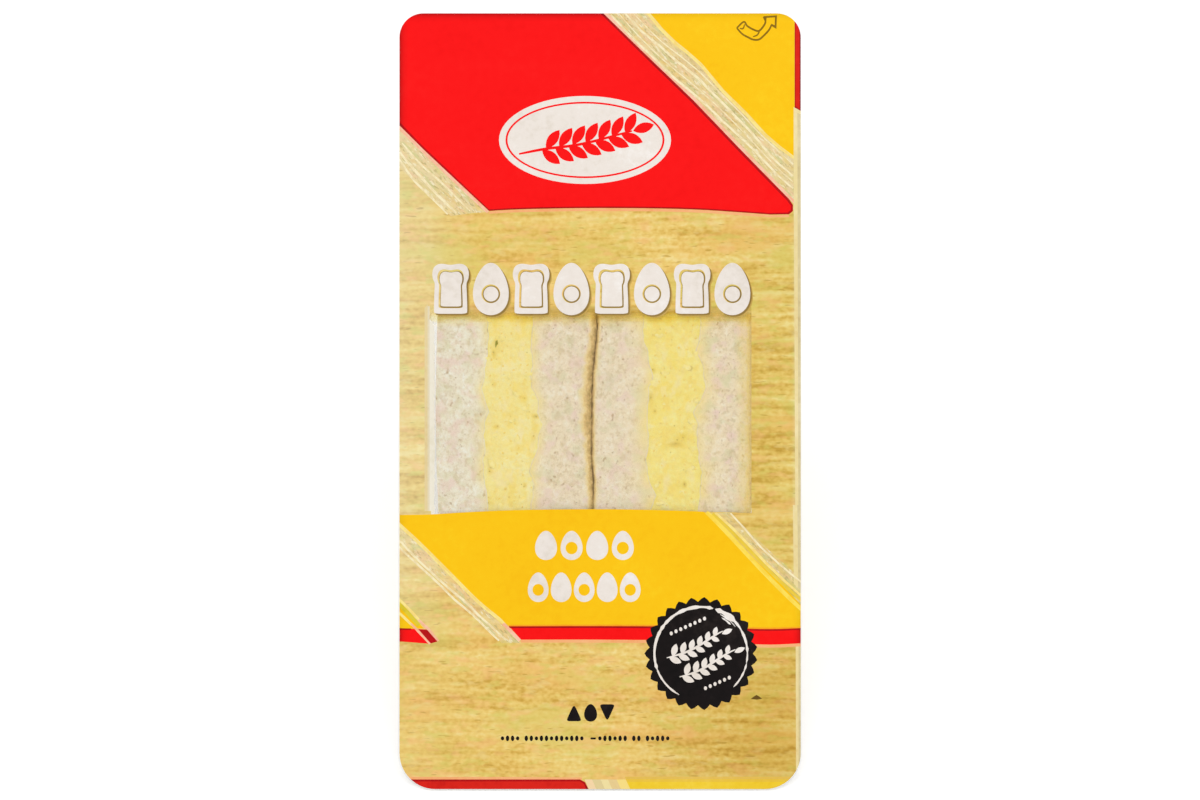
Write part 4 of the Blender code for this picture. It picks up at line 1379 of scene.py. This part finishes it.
# How far each side of a filling wanders from its straight line along the cut: (height on the face, mm)
WANDER = {
    (0, 1): ((-40, 0), (-24.7, 0.87), (-21.9, 0.91), (-19.2, 0.38), (-16.4, 0.02), (-13.6, 0.13), (-10.8, 0.36), (-8, -0.14),
             (-5.3, 0.55), (-2.5, 1.6), (0.3, 0.6), (3.1, 0.04), (5.8, 0.5), (8.6, 0.43), (11.4, 0.98), (14.2, 1.23), (18, 1.21), (40, 0)),
    (0, 2): ((-40, 0), (-24.7, -1.02), (-21.9, -0.91), (-19.2, -0.55), (-16.4, -2.0), (-13.6, -0.9), (-10.8, 0.23), (-8, 0.21),
             (-5.3, 1.0), (-2.5, -0.3), (0.3, 0.19), (3.1, -1.5), (5.8, -1.65), (8.6, -1.1), (11.4, -1.4), (14.2, -1.45), (18, -1.0), (40, 0)),
    (1, 1): ((-40, 0), (-24.7, 1.0), (-21.9, 1.9), (-19.2, 0.8), (-16.4, 0.33), (-13.6, -0.05), (-10.8, -0.06), (-8, 0.37),
             (-5.3, 0.11), (-2.5, 0.3), (0.3, 0.7), (3.1, 0.5), (5.8, 1.5), (8.6, 0.65), (11.4, 0.4), (14.2, -1.0), (18, -0.8), (40, 0)),
    (1, 2): ((-40, 0), (-24.7, -0.72), (-21.9, -0.1), (-19.2, -0.31), (-16.4, -0.28), (-13.6, -0.8), (-10.8, -0.68), (-8, -0.71),
             (-5.3, -0.97), (-2.5, -2.1), (0.3, -0.4), (3.1, 0.75), (5.8, 0.45), (8.6, -0.1), (11.4, -1.3), (14.2, -0.7), (18, -0.13), (40, 0)),
}


def shared_height(y):
    """The height, beside the cut's own, at which bread and egg meet along their common edge."""
    return -0.10 + 0.07 * LUMPS(y / 1.9, 4.0, 9.0)


def between(half, k, y, depth):
    """The k-th of a half's four surfaces at y and depth, with its unevenness."""
    side = 0 if half is LEFT_HALF else 1
    full = half[2] - half[1]
    fill = FILL_EDGE + (full - FILL_EDGE) * smooth(crust_distance(y, depth) / FILL_RAMP)
    loss = full - fill
    share = OUTER_SHARE if side == 0 else 1 - OUTER_SHARE
    base = half[k] + (loss * share if k < 2 else -loss * (1 - share))
    seed = 10.0 * k + 50.0 * side
    if k in (1, 2):
        wave = 0.30 * LUMPS.layers(y / 8.0 + seed, depth / 8.0, seed, 3) + 0.16 * LUMPS(y / 1.7, depth / 1.7 + seed, seed)
        wave = wave * smooth(crust_distance(y, depth) / 6.0)
        where, by = zip(*WANDER[side, k])
        wave = wave + np.interp(y, where, by) * smooth(1 - depth / 30)
        wave = wave + (0.20 * LUMPS.layers(y / 1.5 + 5, 3.0, seed + 4, 2) + 0.16 * LUMPS(y / 3.4 + 9, 8.0, seed + 2)) * smooth(1 - depth / 12)
    elif (side, k) in ((0, 3), (1, 0)):
        # the two halves lie against each other, along one wandering line, and part towards their crusts
        opened = smooth(np.maximum((np.abs(y) - 30) / 24, (depth - 3) / 16))
        base = half[k] + (base - half[k]) * opened
        wave = 0.12 * LUMPS.layers(y / 9.0 + 60, depth / 9.0, 60.0, 2) + seam(y) * smooth(1 - depth / 40)
        wave = wave + 1.0 * smooth(depth / 9.0) * smooth(crust_distance(y, depth) / 8.0)
        wave = wave + (1 if side == 0 else -1) * (0.325 + 0.01 * smooth(depth / 1.6))
    else:
        wave = 0.22 * LUMPS.layers(y / 16.0 + seed, depth / 16.0, seed, 2)
    return base + wave


def spaced(low, high, fine_low, fine_high, fine, coarse):
    """Positions from low to high, close together between fine_low and fine_high."""
    out, y = [low], low
    while y < high:
        gap = max(fine_low - y, y - fine_high, 0.0)
        y += fine + (coarse - fine) * min(1.0, gap / 12.0)
        out.append(y)
    out = np.array(out)
    return low + (out - low) * (high - low) / (out[-1] - low)


def graded(first, last, total):
    """Shares from 0 to 1 whose steps grow from first to last, in mm of total."""
    out, x = [0.0], 0.0
    while x < total:
        x += first + (last - first) * min(1.0, x / total * 1.6)
        out.append(x)
    return np.array(out) / out[-1]


def loft_layer(name, half, which, material, node, first_row, rows_left, rows_right, relief, inset=0.0, ease=CRUST_EASE, gap=0.0):
    """One slice or filling: closed rings across the layer, one for each place along the cut."""
    end = REACH + SLICE_R - inset - 0.05
    ys = spaced(-end, end, -30.0, 26.0, 0.30, 0.85)
    # the crust line of this layer, moved in by inset
    k_leg = (SLICE_R) / math.sqrt(2)
    D0 = crust_depth(ys * (REACH + SLICE_R) / (REACH + SLICE_R - inset)) if inset else crust_depth(ys)
    ny, nd = crust_normal(ys * (REACH + SLICE_R) / (REACH + SLICE_R - inset)) if inset else crust_normal(ys)
    edge_y = (ys * (REACH + SLICE_R) / (REACH + SLICE_R - inset) if inset else ys) - ny * inset
    edge_d = np.maximum(D0 - nd * inset, 0.02)

    thick = half[which + 1] - half[which]
    quarter = np.linspace(math.pi / 4, math.pi / 2, 5)
    n_cut = max(6, int(round(thick / 0.31)))
    n_crust = 10

    def surface(k, y, d):
        x = between(half, k, y, d)
        return x + (gap if k == which and which == 1 else 0) - (gap if k == which + 1 and which == 1 else 0)

    def column(y0, ey, ed, n_y, n_d):
        """Points (x, y, depth, region, share) round one ring."""
        pts = []
        by, bd = ey - n_y * ease * (1 - math.sin(math.pi / 4)), ed - n_d * ease * (1 - math.sin(math.pi / 4))
        bd = max(bd, 0.0)
        for side, shares in ((which, rows_left), (which + 1, rows_right)):
            yy = y0 + (by - y0) * shares
            dd = bd * shares
            pts.append((side, yy, dd))
        return pts, by, bd

    L, Rr = len(rows_left), len(rows_right)
    C = len(ys)
    share_l, share_r = rows_left[None, :], rows_right[None, :]
    pull = ease * (1 - math.sin(math.pi / 4))
    by, bd = edge_y - ny * pull, np.maximum(edge_d - nd * pull, 0.0)
    cut_y = np.clip(ys, edge_y.min(), edge_y.max()) if inset else ys

    def inset_x(c):
        c = np.clip(c, 0, ease) if ease > 0 else c
        return ease - np.sqrt(np.clip(ease**2 - (ease - c) ** 2, 0, None)) if ease > 0 else c * 0

    def distance(y, d):
        return np.clip(crust_distance(y, d) - inset, 0, None)

    rings, kinds = [], []
    # left side, from the cut down to the crust
    yl = cut_y[:, None] + (by - cut_y)[:, None] * share_l
    dl = bd[:, None] * share_l
    xl = surface(which, yl, dl) + inset_x(distance(yl, dl))
    rings.append(np.stack([xl, yl, dl], -1))
    kinds.append(np.full(L, 0))
    # rounded on to the crust
    for angle in quarter[1:]:
        c = ease * (1 - math.sin(angle))
        y, d = edge_y - ny * c, np.maximum(edge_d - nd * c, 0)
        rings.append(np.stack([surface(which, y, d) + ease * (1 - math.cos(angle)), y, d], -1)[:, None])
        kinds.append(np.array([2]))
    # across the crust
    a = surface(which, edge_y, edge_d) + ease
    b = surface(which + 1, edge_y, edge_d) - ease
    for s in np.linspace(0, 1, n_crust)[1:-1]:
        rings.append(np.stack([a + (b - a) * s, edge_y, edge_d], -1)[:, None])
        kinds.append(np.array([2]))
    for angle in quarter[:0:-1]:
        c = ease * (1 - math.sin(angle))
        y, d = edge_y - ny * c, np.maximum(edge_d - nd * c, 0)
        rings.append(np.stack([surface(which + 1, y, d) - ease * (1 - math.cos(angle)), y, d], -1)[:, None])
        kinds.append(np.array([2]))
    # right side, back up to the cut
    yr = cut_y[:, None] + (by - cut_y)[:, None] * share_r
    dr = bd[:, None] * share_r
    xr = surface(which + 1, yr, dr) - inset_x(distance(yr, dr))
    rings.append(np.stack([xr, yr, dr], -1)[:, ::-1])
    kinds.append(np.full(Rr, 1))
    # across the cut
    for s in np.linspace(0, 1, n_cut + 1)[1:-1]:
        x = xr[:, 0] + (xl[:, 0] - xr[:, 0]) * s
        rings.append(np.stack([x, cut_y, np.zeros(C)], -1)[:, None])
        kinds.append(np.array([3]))
    ring = np.concatenate(rings, 1)
    kind = np.concatenate(kinds)
    N = ring.shape[1]
    x, y, d = ring[..., 0], ring[..., 1], ring[..., 2]
    kind2 = np.broadcast_to(kind, x.shape)
    crust_n = np.stack([np.zeros_like(ny), ny, -nd], -1)[:, None]
    on_cut = (kind2 == 3) | (d < 1e-6)
    result = relief(x, y, d, kind2, on_cut, distance(y, d), x - xl[:, :1], xr[:, :1] - x)
    shift_x, shift_cut, shift_crust, values = result
    pts = np.stack([x + shift_x, y, CUT_Z - d + shift_cut], -1)
    pts = pts + crust_n * shift_crust[..., None]
    idx = np.arange(C * N).reshape(C, N)
    nxt = np.roll(idx, -1, 1)
    quads = np.stack([idx[:-1], nxt[:-1], nxt[1:], idx[1:]], -1).reshape(-1, 4)
    obj = make_mesh(name, pts.reshape(-1, 3), [quads, idx[0][::-1], idx[-1]], [material], None,
                    {k: v.reshape(-1) for k, v in values.items()})
    tidy(obj, sharp=62)
    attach(obj, "root")
    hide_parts(node)
    print(name, C, N, len(obj.data.polygons))
    return obj


# How wide the browned band along the line between the halves is: (height on the face, mm wide)
BROWN_AT, BROWN_WIDTH = zip((-46, 1.0), (-24, 1.4), (-21, 1.8), (-14, 1.6), (-10.6, 1.8), (-7, 2.6), (-3.7, 2.9), (0.3, 3.0), (3.1, 2.9),
                            (6.8, 2.4), (10.2, 2.2), (14.2, 1.9), (18, 1.9), (46, 1.0))


def bread_relief(seed, part):
    """Crumb pores on the cut and the flat sides, a wrinkled skin on the crust. The slice's part in the pack says
    which of its edges are browned and which is soaked by the filling."""
    pores, small, wave = Cells(seed), Cells(seed + 1), Noise(seed + 2)

    def relief(x, y, d, kind, on_cut, crust, left, right):
        wx = x + 0.55 * wave(x / 1.3, y / 1.3, d / 1.3)
        wy = y + 0.55 * wave(x / 1.3 + 11, y / 1.3, d / 1.3)
        big = pores.pits(wx / 1.9, wy / 2.3, d / 1.9, 0.14, 0.50, 0.62)
        tiny = small.pits(wx / 0.85, wy / 0.95, d / 0.85, 0.2, 0.5, 0.8)
        rough = wave.layers(x / 2.2, y / 2.2, d / 2.2, 3)
        broad = wave.layers(x / 7.0 + 3, y / 9.0, d / 7.0, 2)
        inner = smooth(crust / 1.6)
        pit = np.maximum(big, 0.5 * tiny)
        shift_cut = np.where(on_cut, -(0.26 * pit + 0.08) * inner + 0.09 * rough + 0.14 * broad, 0.0)
        side = np.where(kind == 0, 1.0, np.where(kind == 1, -1.0, 0.0))
        fade = smooth(crust / 2.5) * np.where(on_cut, 0.3, 1.0)
        shift_x = side * (0.24 * pit + 0.05) * fade + side * 0.05 * rough
        # where the two halves touch, they press flat on each other, below a shallow groove
        touching = (kind == 1) if part == 2 else (kind == 0) if part == 3 else np.zeros(x.shape, bool)
        by_egg = (kind == 0) if part in (2, 4) else (kind == 1)
        shift_x = np.where(by_egg, shift_x * smooth((d - 0.2) / 1.2), shift_x)
        meets = np.exp(-(((left if part in (2, 4) else right) / 0.55) ** 2))
        shift_cut = np.where(on_cut, shift_cut * (1 - meets) + shared_height(y) * meets, 0.0)
        shift_x = np.where(touching, side * 0.10 * pit * smooth(d / 2.0) * fade, shift_x)
        frayed = 0.7 * wave(y / 0.6 + 40 * part, 3.0, 1.0) + 0.7 * wave(y / 1.7 + 40 * part, 6.0, 1.0) - 0.2
        shift_x = np.where(touching, shift_x + side * 0.12 * np.clip(frayed, -0.25, 1.0) * smooth((1.1 - d) / 1.0), shift_x)
        edge = np.clip(right if part == 2 else left, 0, None)
        groove = 0.30 * np.exp(-((edge / 0.42) ** 2)) + 0.10 * np.exp(-((edge / 1.2) ** 2))
        groove = groove * (1 - 0.5 * smooth((-18.0 - y) / 3.0)) * (1 + 0.25 * wave(y / 1.1, 7.0, 30.0))
        shift_cut = shift_cut - (np.where(on_cut & (kind != (0 if part == 2 else 1)), groove, 0.0) if part in (2, 3) else 0.0)
        wrinkle = wave.layers(x / 3.4, y / 6.0, d / 6.0, 3)
        shift_crust = np.where(kind == 2, 0.14 * wrinkle - 0.12, 0.0)
        skin = np.exp(-np.clip(crust, 0, None) / 0.55)
        skin = np.where(kind == 2, 1.0, skin)
        on_face = kind == 3
        left, right = np.clip(left, 0, None), np.clip(right, 0, None)
        ragged = 1 + 0.35 * wave(y / 2.1, 2.0) + 0.25 * wave(y / 0.8, 5.0)
        browning = np.zeros_like(x)
        deep = 0.06 + 0.84 * smooth((11.0 - d) / 9.4)
        if part == 2:
            # browned towards the other half, widest at the middle of the cut
            width = np.interp(y, BROWN_AT, BROWN_WIDTH) * (1 + 0.16 * wave(y / 2.1, 2.0) + 0.14 * wave(y / 0.8, 5.0))
            band = 0.90 * np.clip(1 - right / width, 0, 1) ** 0.95
            browning = np.where(on_face, band, np.where(kind == 1, deep, 0.0))
        elif part == 3:
            band = 0.88 * np.exp(-((left / (0.56 * (1 + 0.2 * wave(y / 2.1, 2.0)))) ** 1.6))
            browning = np.where(on_face, band, np.where(kind == 0, deep, 0.0))
        elif part == 4:
            near = right * (1 + 0.10 * wave(y / 3.0, 4.0))
            band = 0.18 * smooth((2.2 - near) / 1.2) + 0.17 * smooth((4.8 - near) / 2.6)
            browning = np.where(on_face, band, np.where(kind == 1, 0.40 * smooth((2.6 - d) / 2.0), 0.0))
        by_filling = right if part in (1, 3) else left
        reach = (1.3, 1.5, 2.3, 2.4)[part - 1]
        soak = np.where(on_face, np.exp(-((by_filling / reach) ** 1.2)) * (0.85 + 0.45 * wave(y / 3.0, x / 3.0, 9.0)), 0.0)
        opened = np.where(on_cut, 0.12, 1.0) * (1 - skin)
        return shift_x, shift_cut, shift_crust, {"pore": pit, "crust": skin, "browning": browning, "soak": np.clip(soak, 0, 1), "open": opened}

    return relief


# Darker spots in the two fillings' cut faces: (x, y, half width, half height in mm, how dark)
STAINS = (
    (-24.6, 11.2, 0.55, 1.3, 0.8), (-23.9, 13.4, 0.9, 1.6, 0.6), (-24.7, 4.0, 0.8, 0.9, 0.5), (-17.0, -1.8, 1.2, 1.5, 0.25), (-14.9, -3.4, 1.0, 0.7, 0.9),
    (-15.6, -5.6, 1.0, 1.1, 0.3), (-23.8, -5.9, 0.9, 0.7, 0.7), (-15.3, -8.3, 0.7, 1.0, 0.55), (-25.6, -16.1, 0.7, 1.1, 0.6),
    (-22.6, -12.9, 0.5, 0.5, 0.35), (-17.4, -19.6, 0.5, 0.8, 0.8), (-19.4, -21.5, 0.8, 0.9, 0.45), (-25.8, -23.6, 0.8, 1.0, 0.55),
    (-17.7, 0.8, 1.0, 0.7, 0.5), (-18.5, -15.0, 0.6, 0.6, 0.35), (-21.5, 5.1, 1.0, 0.6, 0.3), (-24.6, -11.0, 0.5, 1.2, 0.3),
    (17.4, -10.0, 2.3, 1.1, 0.85), (19.2, -8.2, 1.4, 0.9, 0.6), (19.5, -19.4, 0.65, 0.9, 0.95), (15.5, -21.5, 0.8, 0.7, 0.4),
    (12.1, 7.2, 0.7, 0.8, 0.7), (11.7, 1.0, 0.8, 1.4, 0.8), (12.7, -2.3, 0.8, 0.8, 0.7), (19.2, 7.0, 0.7, 0.7, 0.35),
    (18.0, -8.9, 3.3, 1.5, 0.50), (15.4, -10.3, 1.7, 1.2, 0.42), (11.9, -0.6, 1.4, 3.2, 0.45), (12.2, 8.6, 0.7, 1.4, 0.35),
    (-25.7, -14.0, 0.8, 5.0, 0.24), (-15.1, -6.0, 0.9, 3.2, 0.42), (-25.6, -23.4, 1.1, 1.6, 0.35), (-16.3, 9.6, 0.8, 4.2, 0.20),
    (-18.4, 0.4, 1.4, 1.0, 0.25), (-25.0, -3.0, 0.8, 2.4, 0.28), (22.0, -20.0, 1.2, 2.0, 0.22), (13.0, -19.0, 1.2, 1.6, 0.20),
    (22.6, -11.8, 0.6, 0.6, 0.45), (22.8, 15.3, 0.35, 0.9, 0.4), (17.5, 16.9, 0.7, 0.7, 0.3), (11.4, -13.6, 0.7, 1.4, 0.3),
)


def egg_relief(seed):
    """Finely mashed egg pressed flat at the cut: small curds, with firmer bits of white among them."""
    bits, curds, fine, wave = Cells(seed), Cells(seed + 1), Cells(seed + 3), Noise(seed + 2)

    def relief(x, y, d, kind, on_cut, crust, left, right):
        wx = x + 0.7 * wave(x / 2.2, y / 2.2, d / 2.2)
        wy = y + 0.7 * wave(x / 2.2 + 9, y / 2.2, d / 2.2)
        f1, f2, pick = bits(wx / 2.7, wy / 3.1, d / 2.7)
        g1, g2, curd = curds(wx / 1.35, wy / 1.5, d / 1.35)
        h1, h2, crumb = fine(x / 0.7, y / 0.7, d / 0.7)
        white = smooth((pick - 0.76) / 0.10) * smooth((f2 - f1) / 0.42)
        yolk = smooth((curd - 0.66) / 0.15) * (1 - white) * smooth((g2 - g1) / 0.4)
        round_curd = 1 - np.clip(g1 / 0.72, 0, 1) ** 2
        round_fine = 1 - np.clip(h1 / 0.72, 0, 1) ** 2
        crease = (1 - smooth((g2 - g1) / 0.28)) * (1 - white) * smooth((curd - 0.35) / 0.2) * 0.7
        soft = wave.layers(x / 6.0, y / 7.0, d / 6.0, 2)
        drop = 0.15 * round_curd * (1 - white) + 0.05 * round_fine * (1 - white) + 0.14 * white + 0.18 * soft - 0.14 - 0.06 * crease
        stain = np.zeros_like(x)
        for sx, sy, a, b, dark in STAINS:
            near_x, near_y = x + 0.35 * (wx - x) - sx, y + 0.35 * (wy - y) - sy
            stain = np.maximum(stain, 0.85 * dark * np.exp(-((near_x / a) ** 2 + (near_y / b) ** 2)))
        rim = np.exp(-np.minimum(np.clip(left, 0, None), np.clip(right, 0, None)) / 0.5)
        stain = np.maximum(stain, rim * 0.10 * (1 + wave(y / 2.5, 3.0, x / 2.5)))
        meets = np.exp(-((np.minimum(left, right) / 0.55) ** 2))
        shift_cut = np.where(on_cut, (drop - 0.03 * stain) * (1 - meets) + shared_height(y) * meets, 0.0)
        shift_crust = np.where(kind == 2, 1.2 * soft + 0.5 * (round_curd - 0.5), 0.0)
        return np.zeros_like(x), shift_cut, shift_crust, {"white": white, "yolk": yolk, "crease": crease, "stain": np.where(on_cut, stain, 0.0)}

    return relief


def blob(rng, size, flat, rings=4, around=7, knobby=0.22):
    """A small uneven lump: points and faces, centred at the origin, flattened along z."""
    pts = [(0.0, 0.0, 1.0)]
    for i in range(1, rings):
        t = math.pi * i / rings
        for k in range(around):
            p = 2 * math.pi * (k + 0.5 * (i % 2)) / around
            pts.append((math.sin(t) * math.cos(p), math.sin(t) * math.sin(p), math.cos(t)))
    pts.append((0.0, 0.0, -1.0))
    pts = np.array(pts)
    pts *= (1 + knobby * (rng.rand(len(pts)) - 0.5) * 2)[:, None]
    pts *= (size[0] / 2, size[1] / 2, flat / 2)
    turn = rng.rand() * math.pi if len(size) < 3 else size[2]
    c, s = math.cos(turn), math.sin(turn)
    pts = np.column_stack([pts[:, 0] * c - pts[:, 1] * s, pts[:, 0] * s + pts[:, 1] * c, pts[:, 2]])
    faces = []
    for k in range(around):
        j = (k + 1) % around
        faces.append((0, 1 + k, 1 + j))
        base = 1 + (rings - 2) * around
        faces.append((len(pts) - 1, base + j, base + k))
        for i in range(rings - 2):
            p, q = 1 + i * around, 1 + (i + 1) * around
            a, b, c2, d2 = p + k, p + j, q + j, q + k
            faces.append((a, d2, c2))
            faces.append((a, c2, b))
    return pts, np.array(faces)


def scatter_bits(name, material, node, filling, lumps, sink):
    """Lumps (x, y, size, flat) set into the filling's cut face, each sunk by a share of its height, as one piece."""
    rng = np.random.RandomState(sum(ord(c) for c in name))
    tilt = PACK.to_3x3()
    out, down = tilt @ Vector((0, 0, 1)), tilt @ Vector((0, 0, -1))
    points, faces, total = [], [], 0
    for x, y, size, flat in lumps:
        start = PACK @ Vector((x * 0.001, y * 0.001, 0.006))
        hit, place, normal, _ = filling.ray_cast(start, down)
        if not hit or normal.dot(out) < 0.5:
            continue
        z = (PACK.inverted() @ place).z * 1000
        pts, tris = blob(rng, size, flat)
        points.append(pts + (x, y, z + flat * (0.5 - sink)))
        faces.append(tris + total)
        total += len(pts)
    obj = make_mesh(name, np.concatenate(points), [np.concatenate(faces)], [material])
    tidy(obj)
    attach(obj, "root")
    print(name, len(points), len(obj.data.polygons))
    return obj


def make_bits(fillings):
    """What is stirred through each filling and shows at its cut: chopped white, crumbs of yolk, herb and spice."""
    for index, (filling, half) in enumerate(zip(fillings, (LEFT_HALF, RIGHT_HALF))):
        rng = np.random.RandomState(31 + index)
        low, high = half[1] + 1.2, half[2] - 1.2

        def places(n, apart):
            """n random places on the cut face, no two closer than apart."""
            got = []
            for _ in range(n * 40):
                x, y = low + (high - low) * rng.rand(), -62 + 124 * rng.rand()
                if all((x - a) ** 2 + (y - b) ** 2 > apart**2 for a, b in got):
                    got.append((x, y))
                if len(got) == n:
                    break
            return got

        tag = str(index + 1)
        node = "egg_salad_" + tag
        whites = [(x, y, (1.5 + 1.5 * rng.rand(), 1.1 + 0.9 * rng.rand()), 0.32) for x, y in places(60, 3.4)]
        scatter_bits("egg_white_bits_" + tag, BIT_WHITE, node, filling, whites, 0.84)
        crumbs = [(x, y, (0.32 + 0.4 * rng.rand(), 0.3 + 0.3 * rng.rand()), 0.22) for x, y in places(170, 1.3)]
        scatter_bits("yolk_crumbs_" + tag, BIT_YOLK, node, filling, crumbs, 0.62)
        spots = [(x, y) for x, y, _, _, dark in STAINS if dark >= 0.5 and low - 2 < x < high + 2]
        specks = [(x + 0.5 * (rng.rand() - 0.5), y + 0.5 * (rng.rand() - 0.5), (0.24 + 0.2 * rng.rand(), 0.2 + 0.12 * rng.rand()), 0.16) for x, y in spots]
        specks += [(x, y, (0.18 + 0.16 * rng.rand(), 0.16 + 0.1 * rng.rand()), 0.14) for x, y in places(26, 3.5)]
        scatter_bits("spice_specks_" + tag, BIT_SPICE, node, filling, specks, 0.6)
        herbs = [(x, y, (0.22 + 0.12 * rng.rand(), 0.6 + 0.5 * rng.rand()), 0.14) for x, y in places(9, 7.0) if abs(y + 3) > 24]
        if index == 0:
            herbs.append((-23.9, 13.4, (0.80, 1.9, -0.16), 0.20))
        scatter_bits("herb_flecks_" + tag, BIT_HERB, node, filling, herbs, 0.45)


def make_sandwiches():
    outer = graded(0.32, 1.15, REACH + SLICE_R)
    hidden = graded(0.35, 5.0, REACH + SLICE_R)
    seamed = graded(0.32, 2.2, REACH + SLICE_R)
    rows = {
        "bread_1": (LEFT_HALF, 0, outer, hidden, 1, 101),
        "bread_2": (LEFT_HALF, 2, hidden, seamed, 2, 111),
        "bread_3": (RIGHT_HALF, 0, seamed, hidden, 3, 121),
        "bread_4": (RIGHT_HALF, 2, hidden, outer, 4, 131),
    }
    for node, (half, which, left, right, part, seed) in rows.items():
        loft_layer(node + "_slice", half, which, BREADS[part - 1], node, None, left, right, bread_relief(seed, part))
    fillings = []
    for node, half, seed in (("egg_salad_1", LEFT_HALF, 201), ("egg_salad_2", RIGHT_HALF, 211)):
        fillings.append(loft_layer(node + "_filling", half, 1, EGGS[len(fillings)], node, None, hidden, hidden, egg_relief(seed),
                                   inset=FILL_INSET, ease=1.6, gap=-0.02))
    bpy.context.view_layer.update()
    make_bits(fillings)


make_film()
make_tray()
make_sandwiches()

# ============================================================================
# Floor, light and camera
# ============================================================================
floor_mesh = bpy.data.meshes.new("floor")
bm = bmesh.new()
bmesh.ops.create_grid(bm, x_segments=1, y_segments=1, size=6.0)
bm.to_mesh(floor_mesh)
bm.free()
floor = bpy.data.objects.new("floor", floor_mesh)
bpy.context.scene.collection.objects.link(floor)
t = Tree("pale_floor")
t.set(Base_Color=t.ramp(t.noise(t.scaled(0.004, 0.004, 0.004), 1.0, 2.0, 0.5), [(0.3, (0.90, 0.90, 0.90, 1)), (0.7, (0.93, 0.93, 0.93, 1))]))
t.shader.inputs["Roughness"].default_value = 0.9
t.shader.inputs["Specular IOR Level"].default_value = 0.1
t.shader.inputs["Emission Color"].default_value = (1, 1, 1, 1)
t.shader.inputs["Emission Strength"].default_value = 0.30
floor_mesh.materials.append(t.mat)

world = bpy.data.worlds.new("studio")
world.use_nodes = True
world.node_tree.nodes["Background"].inputs["Color"].default_value = (1.0, 1.0, 1.0, 1)
world.node_tree.nodes["Background"].inputs["Strength"].default_value = 0.60
bpy.context.scene.world = world


def softbox(name, place, target, size, watts):
    data = bpy.data.lights.new(name, "AREA")
    data.shape = "RECTANGLE"
    data.size, data.size_y = size
    data.energy = watts
    lamp = bpy.data.objects.new(name, data)
    lamp.location = place
    lamp.rotation_euler = (Vector(target) - Vector(place)).to_track_quat("-Z", "Y").to_euler()
    bpy.context.scene.collection.objects.link(lamp)
    return lamp


middle = PACK @ Vector((0, 0, 0))
softbox("overhead", (0.0, 0.1, 1.5), (0, 0, 0.05), (1.6, 1.6), 9.0)
softbox("left_front", (-1.1, -0.9, 1.1), middle, (0.8, 0.8), 2.2)
softbox("right_front", (1.1, -0.9, 1.1), middle, (0.8, 0.8), 2.2)

camera_data = bpy.data.cameras.new("camera")
camera = bpy.data.objects.new("camera", camera_data)
distance = 1.6
camera_data.sensor_width = 36.0
camera_data.lens = 36.0 * distance / (1200 * SCALE * 0.001)
camera_data.clip_start, camera_data.clip_end = 0.05, 20.0
aim = Vector(((600 - CENTRE[0]) * SCALE, (CENTRE[1] - 400) * SCALE, 0.0)) * 0.001
camera.matrix_world = PACK @ Matrix.Translation(aim + Vector((0, 0, distance)))
bpy.context.scene.collection.objects.link(camera)
bpy.context.scene.camera = camera

scene = bpy.context.scene
scene.view_settings.view_transform = "Standard"
scene.view_settings.look = "None"
scene.view_settings.exposure = 0.0
scene.view_settings.gamma = 1.0

bpy.context.view_layer.update()
